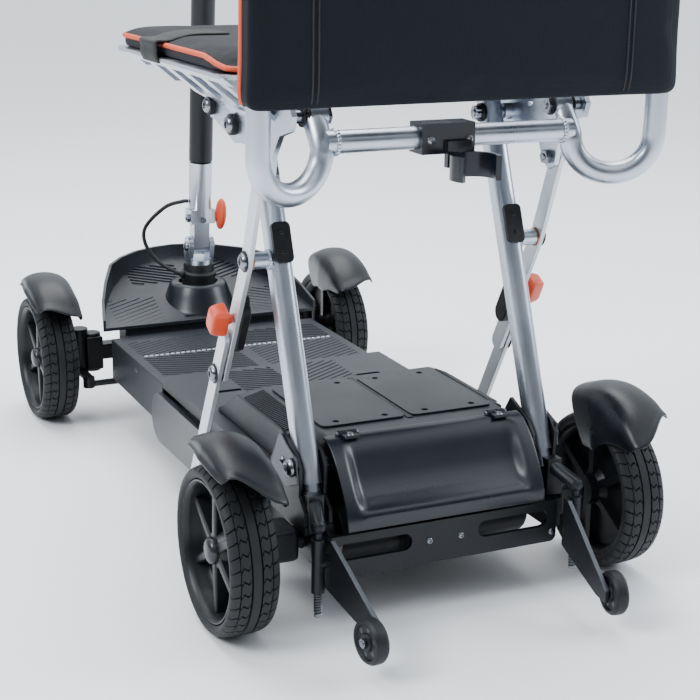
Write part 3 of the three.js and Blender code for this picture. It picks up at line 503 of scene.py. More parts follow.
# %% Tyre
TYRE_RADIUS = 95
SIPES = 40
COLUMNS = 12
tread = [(-27.4, 84), (-27.5, 87), (-26.6, 89.6), (-24.5, 91.6), (-21.5, 92.9), (-18.6, 93.7)]
tread += [(-17.8, 92.4), (-17, 93.9), (-14.4, 94.3), (-11.8, 94.6), (-9.2, 94.8), (-6.8, 94.9)]
tread += [(-6.2, 92), (-5.2, 92), (-4.6, 95), (0, 95)]
tread += [(-x, r) for x, r in tread[-2::-1]]
bead = [(25.4, 81.5), (24, 80.3), (20, 80.3), (-20, 80.3), (-24, 80.3), (-25.4, 81.5)]


def zigzag(x):
    across = abs(x)
    if across < 6.7 or across > 28:
        return 0
    if across <= 17.2:
        return radians(2.6) * (1 - abs(((across - 6.7) / 3.5) % 2 - 1) * 2) * (0.8 if x > 0 else -0.8)
    return radians(3.0) * (across - 17.2) / 10 * (1 if x > 0 else -1)


def tyre_mesh():
    section = tread + bead
    bm = bmesh.new()
    ring = [bm.verts.new((x * 0.001, 0, r * 0.001)) for x, r in section]
    for a, b in zip(ring, ring[1:] + ring[:1]):
        bm.edges.new((a, b))
    bmesh.ops.spin(bm, geom=bm.verts[:] + bm.edges[:], cent=(0, 0, 0), axis=(1, 0, 0), angle=2 * pi,
                   steps=SIPES * COLUMNS, use_merge=True)
    bmesh.ops.remove_doubles(bm, verts=bm.verts, dist=1e-6)
    for vertex in bm.verts:
        x, r = vertex.co.x * 1000, hypot(vertex.co.y, vertex.co.z) * 1000
        angle = atan2(vertex.co.y, vertex.co.z)
        column = round(angle / (2 * pi) * SIPES * COLUMNS)
        banded = 6.7 < abs(x) < 27.45 and r > 86
        if banded and column % COLUMNS == 0:
            r -= 2.4 if abs(x) < 22 else 1.8
        if banded:
            angle += zigzag(x)
        vertex.co = Vector((x, r * sin(angle), r * cos(angle))) * 0.001
    bmesh.ops.recalc_face_normals(bm, faces=bm.faces)
    return bm


print("tyre section points", len(tread + bead))


# %% Rim
def rim_mesh():
    bm = bmesh.new()
    along_x = Matrix.Rotation(pi / 2, 4, "Y")
    dish = [(0, -27), (19, -27), (19, -16), (26, -9), (70, -7), (74, -20), (76, -22), (79.9, -22),
            (79.9, 22.5), (79, 24.6), (77.4, 24.9), (75.4, 23), (73.5, 17), (72.5, 4), (70, 0), (30, -3),
            (24, 6), (19, 14), (0, 14)]
    pour(bm, spun(dish, 96), along_x)
    for i in range(6):
        ridge = bmesh.new()
        block(ridge, mm(-17, -4.5, 17), mm(-6, 4.5, 74))
        pour(bm, ridge, Matrix.Rotation(i * pi / 3, 4, "X"))
        spoke = bmesh.new()
        bmesh.ops.create_cube(spoke, size=1)
        for vertex in spoke.verts:
            far = vertex.co.z > 0
            vertex.co = mm(14.5 if vertex.co.x > 0 and far else (15.5 if vertex.co.x > 0 else -4),
                           (4.6 if far else 5.6) * (1 if vertex.co.y > 0 else -1), 74.6 if far else 14)
        crest = [e for e in spoke.edges if all(v.co.x > 0.01 for v in e.verts) and
                 abs(e.verts[0].co.z - e.verts[1].co.z) > 0.01]
        bmesh.ops.bevel(spoke, geom=crest, offset=0.0026, offset_type="OFFSET", segments=4, profile=0.5,
                        affect="EDGES", material=-1)
        pour(bm, spoke, Matrix.Rotation(i * pi / 3, 4, "X"))
    return bm


def hub_cap_mesh():
    bm = bmesh.new()
    cap = [(0, 24.4), (5, 24.2), (10, 23.2), (13.5, 21.2), (15.2, 18.4), (15.6, 14), (0, 13)]
    pour(bm, spun(cap, 40), Matrix.Rotation(pi / 2, 4, "Y"))
    return bm


print("spoke turn", round(pi / 3, 4))

# %% Four wheels
for name, s in SIDES:
    for end in ("front", "rear"):
        hub = PIVOT[f"{end}_wheel_spin_{name}"]
        place = Matrix.Translation(hub) @ Matrix.Diagonal((s, 1, 1, 1))
        body = f"wheel_{end}_{name}"
        for part, mesh_of, material in (("tyre", tyre_mesh, TYRE), ("rim", rim_mesh, RIM),
                                        ("hub_cap", hub_cap_mesh, HUB)):
            bm = bmesh.new()
            pour(bm, mesh_of(), place)
            node = f"{part}_{end}_{name}"
            piece(f"{node}_wheel", bm, body, material, 0, [node] if node in nodes else [], 38)

# %% [markdown]
# ## Mudguards
# Each guard is a helmet of thin plastic, higher and longer than the tyre needs, with a curled lip. A section
# across the wheel is spun through the arc, then the ends are drawn in so that the guard reads as one dome.

# %% Mudguards
GUARD_SHIFT = mm(0, 18, 21)
GUARD_ARC = (36, 126)
GUARD_CROWN = 114.8
GUARD_FORM = {"front": (1.0, 8, 1.3), "rear": (1.25, 19, 1.1)}
guard_section = [(-34, 52), (-35, 64), (-35, 78), (-34, 90), (-31, 101), (-25, 108.5), (-14, 113),
                 (0, GUARD_CROWN), (12, 114), (22, 110.5), (29, 104.5), (32, 97), (33, 90), (37, 84)]


def guard_mesh(inner_depth, sweep, drop):
    bm = bmesh.new()
    row = [bm.verts.new((x * 0.001, r * 0.001, 0)) for x, r in guard_section]
    for a, b in zip(row, row[1:]):
        bm.edges.new((a, b))
    start, end = (radians(a) for a in GUARD_ARC)
    bmesh.ops.rotate(bm, verts=bm.verts, cent=(0, 0, 0), matrix=Matrix.Rotation(start, 3, "X"))
    bmesh.ops.spin(bm, geom=bm.verts[:] + bm.edges[:], cent=(0, 0, 0), axis=(1, 0, 0), angle=end - start,
                   steps=24)
    for vertex in bm.verts:
        angle = atan2(vertex.co.z, vertex.co.y)
        r = hypot(vertex.co.y, vertex.co.z) * 1000
        x = vertex.co.x * 1000
        share = (angle - start) / (end - start)
        outer = min(max((x + 22) / 50, 0), 1)
        angle += radians(sweep) * outer * outer * (3 - 2 * outer) * (1 - share)
        if x > 0:
            skirt = drop * (0.34 + 0.36 * sin(pi * min(share * 1.1 + 0.02, 1)))
        else:
            skirt = min(0.35 + 1.9 * share, inner_depth)
        lift = 3.5 * max(share - 0.86, 0) / 0.14 + 2.5 * max(0.08 - share, 0) / 0.08
        r = GUARD_CROWN - (GUARD_CROWN - r) * skirt + lift
        narrow = 1 - 0.20 * max(share - 0.55, 0) / 0.45 - 0.08 * max(0.2 - share, 0) / 0.2
        vertex.co = Vector((x * narrow * 0.001, r * 0.001 * cos(angle), r * 0.001 * sin(angle)))
    bmesh.ops.recalc_face_normals(bm, faces=bm.faces)
    return bm


def mudguard(name, s, end):
    bm = bmesh.new()
    hub = PIVOT[f"{end}_wheel_spin_{name}"]
    place = Matrix.Translation(hub + GUARD_SHIFT) @ Matrix.Diagonal((s, 1, 1, 1))
    pour(bm, guard_mesh(*GUARD_FORM[end]), place)
    node = f"fender_{end}_{name}"
    guard = piece(f"{node}_shell", bm, BODY[node], FENDER, stands_for=[node], smooth=80)
    thicken(guard, 0.003, -1)
    soften(guard, 2)


for name, s in SIDES:
    for end in ("front", "rear"):
        mudguard(name, s, end)

# %% [markdown]
# ## Seat legs, links and their bolts
# The legs are D-section tubes: flat sides, a flat front and a round back. Their outline is a few points and
# one arc, extruded along the leg, and each end carries a narrower plug. The links are bright flat bars, and the upper one bends where it crosses
# the leg. Their bolts, washers and lock cases are separate pieces, so that each has its own finish.

# %% Legs
FOOT = PIVOT["seat_fold"] * 1000
CROSS = PIVOT["link_swing"] * 1000
KNEE = PIVOT["knee_fold"] * 1000
TOP = PIVOT["seat_level"] * 1000
LEAN = atan2(FOOT.y - TOP.y, TOP.z - FOOT.z)
LEG_X, LEG_HALF = 147, 12.5
LEG_LENGTH, PLUG_LENGTH = 0.423, 0.02
LEG_UP = Vector((0, -sin(LEAN), cos(LEAN)))
LEG_BACK = Vector((0, cos(LEAN), sin(LEAN)))


def on_leg(s, along, out=0.0, x=LEG_X):
    base = Vector((s * x, FOOT.y, FOOT.z))
    return (base + LEG_UP * along + LEG_BACK * out) * 0.001


def leg_mesh(s):
    corner = 2.2
    outline = [(-LEG_HALF, -11 + corner), (-LEG_HALF + corner, -11), (LEG_HALF - corner, -11),
               (LEG_HALF, -11 + corner)]
    outline += [(LEG_HALF * cos(pi * i / 20), 2 + LEG_HALF * sin(pi * i / 20)) for i in range(21)]
    bm = bmesh.new()
    face = bm.faces.new([bm.verts.new(on_leg(s, -21, v, LEG_X + u)) for u, v in outline])
    draw_out(bm, face, LEG_UP * LEG_LENGTH)
    bmesh.ops.recalc_face_normals(bm, faces=bm.faces)
    ends = [f for f in bm.faces if len(f.verts) > 4]
    for cap in ends:
        bmesh.ops.inset_region(bm, faces=[cap], thickness=0.0028, use_even_offset=True)
        draw_out(bm, cap, cap.normal * PLUG_LENGTH)
        bmesh.ops.delete(bm, geom=[cap], context="FACES_ONLY")
    return bm


def weld(bm, center, axis, radius, beads=14, size=2.6):
    """A ring of overlapping weld beads round a joint."""
    place = facing(center, axis)
    for i in range(beads):
        part = bmesh.new()
        bmesh.ops.create_uvsphere(part, u_segments=10, v_segments=6, radius=size * 0.001)
        spot = Matrix.Rotation(2 * pi * i / beads, 4, "Z") @ Matrix.Translation((radius * 0.001, 0, 0))
        pour(bm, part, place @ spot @ Matrix.Diagonal((0.9, 1.25, 0.9, 1)))


for name, s in SIDES:
    piece(f"seat_leg_{name}_tube", leg_mesh(s), "seat_legs", SILVER, 0, [f"seat_leg_{name}"], 25)
    bm = bmesh.new()
    pin(bm, s, 158, 181.4, CROSS, 9.5)
    weld(bm, mm(s * 160.5, CROSS.y, CROSS.z), (s, 0, 0), 9.6, 16)
    piece(f"cross_boss_{name}", bm, "seat_legs", SILVER, 0.6)
    bm = bmesh.new()
    block(bm, mm(-11, -3, -23), mm(11, 3, 23))
    bmesh.ops.bevel(bm, geom=[e for e in bm.edges if abs((e.verts[0].co - e.verts[1].co).y) > 0.005],
                    offset=0.006, offset_type="OFFSET", segments=6, profile=0.5, affect="EDGES", material=-1)
    place = Matrix.Translation(on_leg(s, 246, 14.5)) @ Matrix.Rotation(LEAN, 4, "X")
    bmesh.ops.transform(bm, matrix=place, verts=bm.verts)
    for i in (-1, 1):
        bolt_head(bm, place @ mm(0, 2.8, 11 * i), LEG_BACK, 3.2, 1.6)
    piece(f"leg_pad_{name}", bm, "seat_legs", RUBBER, 1.6, layers=3)


# %% Links, their bolts and the lock
LINK_X, LOWER_X = 182, 190
HEAD = Vector((0, 315, 495))
LOWER_FOOT = Vector((0, 110, 85))
link_angle = atan2(CROSS.z - KNEE.z, CROSS.y - KNEE.y)


def on_link(distance):
    return KNEE.y + distance * cos(link_angle), KNEE.z + distance * sin(link_angle)


for name, s in SIDES:
    bm = bmesh.new()
    bar(bm, [(KNEE.y, KNEE.z), (CROSS.y, CROSS.z), (HEAD.y, HEAD.z)], 11, s * LINK_X, s * (LINK_X + 6))
    piece(f"upper_link_{name}_bar", bm, "upper_links", BRIGHT, 0.9, [f"upper_link_{name}"])
    bm = bmesh.new()
    bar(bm, [(LOWER_FOOT.y, LOWER_FOOT.z), on_link(56)], 10.5, s * LOWER_X, s * (LOWER_X + 6))
    piece(f"lower_link_{name}_bar", bm, "lower_links", BRIGHT, 0.9, [f"lower_link_{name}"])
    heads = bmesh.new()
    side_bolt(heads, s, LINK_X + 7.4, CROSS, 10, 5)
    side_bolt(heads, s, LINK_X + 6, HEAD, 9.5, 5)
    piece(f"upper_link_bolts_{name}", heads, "upper_links", ZINC, 0.3)
    washers = bmesh.new()
    pin(washers, s, LINK_X + 6, LINK_X + 7.4, CROSS, 12)
    piece(f"upper_link_washer_{name}", washers, "upper_links", RUBBER, 0.3)
    collar = bmesh.new()
    pin(collar, s, 180, 181.9, CROSS, 11.5, 8)
    pin(collar, s, 178.6, 181.8, HEAD, 10.5, 8)
    piece(f"copper_washers_{name}", collar, "upper_links", COPPER, 0.4)
    heads = bmesh.new()
    side_bolt(heads, s, LOWER_X + 7.4, KNEE, 10, 5)
    side_bolt(heads, s, LOWER_X + 6, LOWER_FOOT, 9.5, 4.6)
    piece(f"lower_link_bolts_{name}", heads, "lower_links", ZINC, 0.3)
    washers = bmesh.new()
    pin(washers, s, LOWER_X + 6, LOWER_X + 7.4, KNEE, 12)
    pin(washers, s, 188.4, 189.8, KNEE, 10.5)
    piece(f"knee_washers_{name}", washers, "lower_links", RUBBER, 0.3)
    lock = bmesh.new()
    bar(lock, [on_link(50), on_link(96)], 12, s * 171, s * 181.6)
    bar(lock, [on_link(96), on_link(112)], 6, s * 173, s * 180)
    piece(f"lock_case_{name}", lock, "upper_links", RUBBER, 1.6, layers=3)
    knob = bmesh.new()
    pour(knob, spun([(0, 0), (6.5, 0), (6.5, 9), (0, 9)], 24), facing(mm(s * 188.4, *on_link(86)), (s, 0, 0)))
    grip = bmesh.new()
    bmesh.ops.create_cube(grip, size=1)
    bmesh.ops.subdivide_edges(grip, edges=grip.edges, cuts=3, use_grid_fill=True)
    bmesh.ops.smooth_vert(grip, verts=grip.verts, factor=0.5, use_axis_x=True, use_axis_y=True,
                              use_axis_z=True)
    shape = Matrix.Diagonal((0.021, 0.024, 0.035, 1))
    for vertex in grip.verts:
        vertex.co.y *= 1 - 0.35 * vertex.co.x
        vertex.co.z *= 1 - 0.30 * (vertex.co.x > 0) * vertex.co.x
    turn = Matrix.Rotation(link_angle - pi / 2, 4, "X")
    place = Matrix.Translation(mm(s * 206, *on_link(86)))
    pour(knob, grip, place @ turn @ Matrix.Diagonal((s, 1, 1, 1)) @ shape)
    orange = piece(f"lock_knob_{name}_grip", knob, f"lock_knob_{name}", ORANGE, 0,
                   [f"lock_knob_{name}"], 60)
    soften(orange, 2)

# %% [markdown]
# ## Chassis, deck and covers
# The floor pan, covers, bumper and brackets keep the outline of the frame's own solids, with rolled edges.
# The detail that makes them real is added on top: chevron ribs on the deck, vents beside the battery
# housing, sunk screws in the access panels, and the scooped rear lid.

# %% Plain carried-over pieces
for node, edge in (("chassis_frame", 1.5), ("front_deck", 2.2), ("middle_cover", 1.0), ("rear_cover", 2.5),
                   ("battery_pack", 2), ("rear_bumper", 1.2), ("transaxle", 1.5), ("front_axle", 1.5),
                   ("tie_rod", 0.8), ("access_panel_left", 0.7), ("access_panel_right", 0.7),
                   ("side_panel_left", 2.4), ("side_panel_right", 2.4), ("rear_bracket_left", 0.8),
                   ("rear_bracket_right", 0.8), ("knuckle_left", 1.2), ("knuckle_right", 1.2),
                   ("front_platform", 1.2)):
    refined(node, edge)


# %% Deck ribs
def clip(bm, low, high):
    for axis in range(2):
        for limit, sign in ((low, -1), (high, 1)):
            normal = Vector((0, 0, 0))
            normal[axis] = sign
            point = Vector(limit)
            found = bmesh.ops.bisect_plane(bm, geom=bm.verts[:] + bm.edges[:] + bm.faces[:], plane_co=point,
                                           plane_no=normal, clear_outer=True)
            edges = [e for e in found["geom_cut"] if isinstance(e, bmesh.types.BMEdge)]
            if edges:
                bmesh.ops.edgenet_fill(bm, edges=edges)


def rib(length, width, height):
    """A long low ridge with a roof-shaped top, lying along X."""
    part = bmesh.new()
    bmesh.ops.create_cube(part, size=1)
    for vertex in part.verts:
        top = vertex.co.z > 0
        vertex.co = Vector((vertex.co.x * length, vertex.co.y * width * (0.5 if top else 1),
                            height if top else -0.0004))
    return part


def rib_field(low, high, z, angle, pitch, place=Matrix()):
    bm = bmesh.new()
    center = (Vector(low) + Vector(high)) / 2
    reach = (Vector(high) - Vector(low)).length
    count = int(reach / pitch / 2)
    for i in range(-count, count + 1):
        shift = Matrix.Translation((center.x, center.y, z)) @ Matrix.Rotation(angle, 4, "Z")
        pour(bm, rib(reach, 0.0024, 0.0011), shift @ Matrix.Translation((0, i * pitch, 0)))
    clip(bm, low, high)
    bmesh.ops.transform(bm, matrix=place, verts=bm.verts)
    return bm


DECK_Z = 0.139
COVER_Z = 0.150
deck_fields = (
    ("deck_ribs_front", 150, (-322, -252), 28),
    ("deck_ribs_rear", 150, (-236, -120), -28),
)
for label, reach, (y0, y1), tilt in deck_fields:
    bm = bmesh.new()
    for s in (1, -1):
        x0, x1 = sorted((s * 10, s * reach))
        pour(bm, rib_field(mm(x0, y0, 0), mm(x1, y1, 0), DECK_Z, radians(s * tilt), 0.0095))
    piece(label, bm, "chassis", DECK)
bm = bmesh.new()
for s in (1, -1):
    x0, x1 = sorted((s * 12, s * 82))
    pour(bm, rib_field(mm(x0, -92, 0), mm(x1, 48, 0), COVER_Z, radians(-s * 32), 0.0095))
piece("cover_ribs", bm, "chassis", DECK)
bm = bmesh.new()
for i in range(-18, 19):
    pour(bm, spun([(0, 1.2), (1.6, 1.0), (2.2, 0), (0, 0)], 10),
         Matrix.Translation(mm(i * 8, -244, 139)) @ Matrix.Diagonal((1.4, 0.7, 1, 1)))
piece("deck_seam_dots", bm, "chassis", BRIGHT)

# %% Footwell treads
FLOOR_TILT = atan2(60, 191.5)
bm = bmesh.new()
for s in (1, -1):
    x0, x1 = sorted((s * 72, s * 148))
    tilt = Matrix.Translation(mm(0, -370, 155.6)) @ Matrix.Rotation(-FLOOR_TILT, 4, "X")
    pour(bm, rib_field(mm(x0, -70, 0), mm(x1, 2, 0), 0, radians(s * 24), 0.009, tilt))
    x0, x1 = sorted((s * 8, s * 92))
    pour(bm, rib_field(mm(x0, -168, 0), mm(x1, -112, 0), 0, radians(-s * 24), 0.009, tilt))
piece("footwell_ribs", bm, "chassis", DECK)

# %% Vents beside the battery housing
bm = bmesh.new()
slope = atan2(201 - 189, 141 - 116)
for s in (1, -1):
    for i in range(27):
        y = 150 + i * 5.0
        place = Matrix.Translation(mm(s * 128.5, y, 195.4)) @ Matrix.Rotation(s * slope, 4, "Y")
        fin = Matrix.Rotation(radians(-s * 24), 4, "Z")
        pour(bm, rib(0.026, 0.0028, 0.0016), place @ fin)
piece("vent_fins", bm, "chassis", DECK)

# %% Screws in the panels, the bumper and the hinges
bm = bmesh.new()
for s in (1, -1):
    x0 = 4 if s > 0 else -110
    for dx in (22, 84):
        for y in (168, 303):
            bolt_head(bm, mm(x0 + dx, y, 201), (0, 0, 1), 3.3, 1.2)
piece("panel_screws", bm, "chassis", PAINT)
bm = bmesh.new()
for s in (1, -1):
    bolt_head(bm, mm(s * 20, 411, 87), (0, 1, 0), 4, 2)
    bolt_head(bm, mm(s * 140, 411, 72), (0, 1, 0), 4, 2)
    bolt_head(bm, mm(s * 168, -60, 122), (s, 0, 0), 3, 1.2)
piece("bumper_screws", bm, "chassis", ZINC)
bm = bmesh.new()
rod(bm, mm(-3.6, 150, 201.4), mm(3.6, 150, 201.4), 0.2, 6)
block(bm, mm(-3.4, 150, 201), mm(3.4, 318, 202))
piece("centre_strip", bm, "chassis", RUBBER, 0.3)

# %% Rear lid
LID_HALF = 124
hood = [(348, 204), (359, 202), (371, 195.5), (384, 184), (396, 169), (406, 154), (413, 141), (417.5, 129),
        (419, 116)]
scoop = [(348, 204), (358.5, 201), (368, 191), (376, 175), (385, 158.5), (396, 146), (408, 138.6), (418, 133),
         (419, 116)]


def lid_mesh():
    bm = bmesh.new()
    rows, columns = 32, 72
    bmesh.ops.create_grid(bm, x_segments=columns, y_segments=rows, size=1)
    hood_line = smooth_route([Vector((0, *p)) for p in hood], 8)
    scoop_line = smooth_route([Vector((0, *p)) for p in scoop], 8)
    for vertex in bm.verts:
        x = vertex.co.x * LID_HALF
        t = (1 - vertex.co.y) / 2
        place = min(t * (len(hood_line) - 1), len(hood_line) - 1.001)
        index = int(place)
        share = place - index
        outer = hood_line[index].lerp(hood_line[index + 1], share)
        inner = scoop_line[index].lerp(scoop_line[index + 1], share)
        shoulder = min(max((LID_HALF - 12 - abs(x)) / 17, 0), 1)
        blend = shoulder * shoulder * (3 - 2 * shoulder)
        spot = outer.lerp(inner, blend)
        vertex.co = mm(x, spot.y, spot.z)
    bmesh.ops.recalc_face_normals(bm, faces=bm.faces)
    if sum(f.normal.z for f in bm.faces) < 0:
        bmesh.ops.reverse_faces(bm, faces=bm.faces)
    return bm


lid = piece("rear_lid_shell", lid_mesh(), "rear_lid", GLOSS, 0, ["rear_lid"], 60)
thicken(lid, 0.003, -1)
edge = lid.modifiers.new("edge", "BEVEL")
edge.width = 0.0009
edge.segments = 2
edge.angle_limit = radians(50)
bm = bmesh.new()
pins = bmesh.new()
for s in (1, -1):
    rod(bm, mm(s * 84, 348.5, 205), mm(s * 94, 348.5, 205), 3.8, 20)
    rod(bm, mm(s * 96, 348.5, 205), mm(s * 106, 348.5, 205), 3.8, 20)
    block(bm, mm(min(s * 86, s * 104), 350, 203), mm(max(s * 86, s * 104), 364, 206))
    rod(pins, mm(s * 81, 348.5, 205), mm(s * 109, 348.5, 205), 2.2, 16)
    bolt_head(pins, mm(s * 95, 358, 206), (0, 0.3, 1), 4, 1.8)
piece("lid_hinges", bm, "rear_lid", PAINT, 0.5)
piece("lid_hinge_pins", pins, "rear_lid", ZINC, 0.3)

# %% Rear brackets: pointed plates, bolts, post caps and springs
for name, s in SIDES:
    bm = bmesh.new()
    outline_plate(bm, [(300, 163), (322, 205), (330, 207), (345, 199), (372, 190), (376, 164), (344, 150)],
                  s * 164.2, s * 166.4)
    piece(f"pointed_plate_{name}", bm, "chassis", PLATE, 0.5)
    bm = bmesh.new()
    side_bolt(bm, s, 168, FOOT, 11, 6)
    bolt_head(bm, mm(s * 166.4, 334, 178), (s, 0, 0), 5, 3)
    side_nut(bm, s, 129.5, FOOT, 8, 6)
    piece(f"bracket_bolts_{name}", bm, "chassis", ZINC, 0.3)
    bm = bmesh.new()
    coil = [mm(s * 162 + 4.4 * cos(t * 0.5), 424 + 4.4 * sin(t * 0.5), 31 + t * 0.25) for t in range(96)]
    pour(bm, swept(coil, 0.7, 2))
    rod(bm, mm(s * 162, 424, 26), mm(s * 162, 424, 36), 2.4, 16)
    nut(bm, mm(s * 162, 424, 31), (0, 0, -1), 4.6, 3.4)
    piece(f"post_spring_{name}", bm, "chassis", ZINC)
bm = bmesh.new()
for s in (1, -1):
    block(bm, mm(min(s * 166, s * 203), 338, 76), mm(max(s * 166, s * 203), 384, 114))
piece("axle_carriers", bm, "chassis", PAINT, 6, layers=3)
bm = bmesh.new()
for s in (1, -1):
    block(bm, mm(min(s * 156, s * 182), -466, 70), mm(max(s * 156, s * 182), -432, 122))
    rod(bm, mm(s * 170, -449, 66), mm(s * 170, -449, 127), 14, 32)
    rod(bm, mm(s * 190, -449, 71.9), mm(s * 190, -449, 128.2), 14.6, 32)
piece("kingpin_housings", bm, "chassis", PAINT, 2.2, layers=3)
bm = bmesh.new()
pour(bm, spun([(0, 0), (7, 0), (7, 0.8), (5.6, 1.5), (0, 1.6)], 24),
     facing(mm(164, -227, 124.7), (1, 0, 0)) @ Matrix.Diagonal((0.6, 1, 1, 1)))
piece("deck_side_button", bm, "chassis", PLATE)
bm = bmesh.new()
block(bm, mm(-138, -404, 104), mm(138, -357, 138.5))
block(bm, mm(-138, -404, 136), mm(138, -368, 148))
piece("platform_support", bm, "chassis", DECK, 1.5)
bm = bmesh.new()
pour(bm, spun([(31, 199.6), (38, 200.2), (42.6, 199), (45, 195), (50, 182), (56.6, 166), (63.4, 152),
               (66, 149), (60, 148), (31, 199.6)], 64), Matrix.Translation(mm(0, -428, 0)))
piece("platform_dome_skin", bm, "chassis", GLOSS, 0, smooth=50)

# %% [markdown]
# ## Anti-tip arms
# Each arm is a black web with a grey strip bent along its upper edge, turning on the post. Its little wheel
# has six holes round a hex bolt.

# %% Arms and castors
ARM_TURN = radians(-7.5)


def on_arm(s, reach, side, z):
    return mm(s * (162 + reach * sin(ARM_TURN) + side * cos(ARM_TURN)),
              424 + reach * cos(ARM_TURN) - side * sin(ARM_TURN), z)


def arm_strip(s):
    bm = bmesh.new()
    edge_line = [(10, 117), (40, 98.5), (75, 76), (115, 51.4)]
    upper = smooth_route([Vector((r, z, 0)) for r, z in edge_line], 4)
    rows = [[bm.verts.new(on_arm(s, p.x, side, p.y + lift)) for side, lift in
             ((-14.6, 0), (-9.4, 0), (-9.4, -2.4), (-14.6, -2.4))] for p in upper]
    for a, b in zip(rows, rows[1:]):
        for i in range(4):
            bm.faces.new((a[i], a[(i + 1) % 4], b[(i + 1) % 4], b[i]))
    bm.faces.new(rows[0])
    bm.faces.new(rows[-1])
    bmesh.ops.recalc_face_normals(bm, faces=bm.faces)
    return bm


for name, s in SIDES:
    refined(f"anti_tip_arm_{name}", 0.8)
    piece(f"arm_strip_{name}", arm_strip(s), f"anti_tip_arm_{name}", PLATE, 0.5)
    hub = PIVOT[f"anti_tip_wheel_spin_{name}"]
    axle = Vector((s * cos(ARM_TURN), -sin(ARM_TURN), 0))
    place = facing(hub, axle)
    bm = bmesh.new()
    pour(bm, spun([(4, -8), (9, -8), (10, -5.5), (18, -5.5), (19.5, -8.2), (22.4, -7.8), (24.6, -5), (25, 0),
                   (24.6, 5), (22.4, 7.8), (19.5, 8.2), (18, 5.5), (10, 5.5), (9, 8), (4, 8), (4, -8)], 48),
         place)
    node = f"anti_tip_wheel_{name}"
    piece(f"castor_{name}", bm, node, RUBBER, 0, [node], 30)
    bm = bmesh.new()
    for i in range(6):
        turn = Matrix.Rotation(i * pi / 3, 4, "Z") @ Matrix.Translation((0.014, 0, 0))
        pour(bm, spun([(0, 5.7), (2.6, 5.7), (2.9, 5.2), (0, 5.2)], 14), place @ turn)
        pour(bm, spun([(0, -5.7), (2.6, -5.7), (2.9, -5.2), (0, -5.2)], 14), place @ turn)
    piece(f"castor_holes_{name}", bm, f"anti_tip_wheel_{name}", PLATE, 0)
    bm = bmesh.new()
    rod(bm, hub - axle * 0.013, hub + axle * 0.010, 4, 20)
    nut(bm, hub + axle * 0.0085, axle, 5.6, 3.2)
    piece(f"castor_bolt_{name}", bm, f"anti_tip_arm_{name}", ZINC, 0.3)

# %% [markdown]
# ## Backrest tubes and seat pan
# The backrest tube is one long bend: from the bolt at the seat bracket it drops, turns up through a hook and
# runs to the top. Its route is straight points and one arc formula, and a curve gives it its round section.

# %% Backrest frame
BACK = PIVOT["backrest_fold"] * 1000
BACK_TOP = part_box("backrest_pad")[1].z * 1000
INNER_X, OUTER_X = 148, 232


def back_route(s):
    points = [(INNER_X, BACK.y + 2, BACK.z - 2), (INNER_X, 382, 551), (INNER_X, 390, 541)]
    middle, radius = (INNER_X + OUTER_X) / 2, (OUTER_X - INNER_X) / 2
    for i in range(25):
        turn = i * pi / 24
        points.append((middle - radius * cos(turn), 396 + 18 * (1 - cos(turn)), 532 - radius * sin(turn)))
    points += [(OUTER_X, 433, 550), (OUTER_X, 433, 640), (OUTER_X, 433, BACK_TOP - 54)]
    for i in range(1, 13):
        turn = i * pi / 24
        points.append((OUTER_X - 36 + 36 * cos(turn), 433, BACK_TOP - 54 + 36 * sin(turn)))
    points += [(100, 433, BACK_TOP - 18), (0, 433, BACK_TOP - 18)]
    return [mm(s * x, y, z) for x, y, z in points]


bm = bmesh.new()
for name, s in SIDES:
    pour(bm, swept(back_route(s), 12.5, 8))
    pin(bm, s, 136, 155, BACK, 14.5, 40)
rod(bm, mm(-146, 397, 538), mm(146, 397, 538), 12, 40)
for s in (1, -1):
    weld(bm, mm(s * 134.5, 397, 538), (s, 0, 0), 12.2, 18, 2.8)
piece("backrest_tubes", bm, "backrest", SILVER, 0, ["backrest_frame"], 40)
bm = bmesh.new()
for s in (1, -1):
    pin(bm, s, 155, 171, BACK, 7, 24)
    side_nut(bm, s, 135.6, BACK, 9.5, 6)
piece("backrest_bolts", bm, "backrest", ZINC, 0.4)
bm = bmesh.new()
for s in (1, -1):
    pin(bm, s, 155, 157.5, BACK, 12.5, 30)
    pin(bm, s, 160, 162, BACK, 11, 30)
    pin(bm, s, 134, 136, BACK, 11, 30)
piece("backrest_washers", bm, "backrest", RUBBER, 0.4)
refined("cane_holder", 1.6, layers=3)
bm = bmesh.new()
for x in (33, -12):
    bolt_head(bm, mm(x, 413.8, 537), (0, 1, 0), 4.6, 3)
piece("cane_holder_bolts", bm, "backrest", ZINC, 0.2)

# %% Seat pan and its bolts
refined("seat_pan", 0.9)
bm = bmesh.new()
for s in (1, -1):
    for y, z, r in ((TOP.y, TOP.z, 10), (152, 549, 9)):
        bolt_head(bm, mm(s * 184, y, z), (s, 0, 0), r, 5)
    side_nut(bm, s, 131, TOP, 9, 7)
    nut(bm, mm(s * 160, 152, 549), (-s, 0, 0), 8.5, 6)
    side_nut(bm, s, 172, HEAD, 8.5, 7)
piece("seat_bolts", bm, "seat", ZINC, 0.3)
bm = bmesh.new()
for s in (1, -1):
    pin(bm, s, 178.5, 184, TOP, 12, 30)
    rod(bm, mm(s * 178.5, 152, 549), mm(s * 184, 152, 549), 11, 30)
    pin(bm, s, 131, 134, TOP, 11, 30)
piece("seat_washers", bm, "seat", RUBBER, 0.3)

# %% [markdown]
# ## Cushion and backrest cover
# Foam in a cover bulges between its edges. Each pad starts as a rounded slab, is remeshed evenly, and is
# blown up by the cloth solver with a little pressure. A cap keeps every point near its start, so the pad
# stays its own size. Piping, seams and straps are laid on the surface afterwards, by casting rays at it.


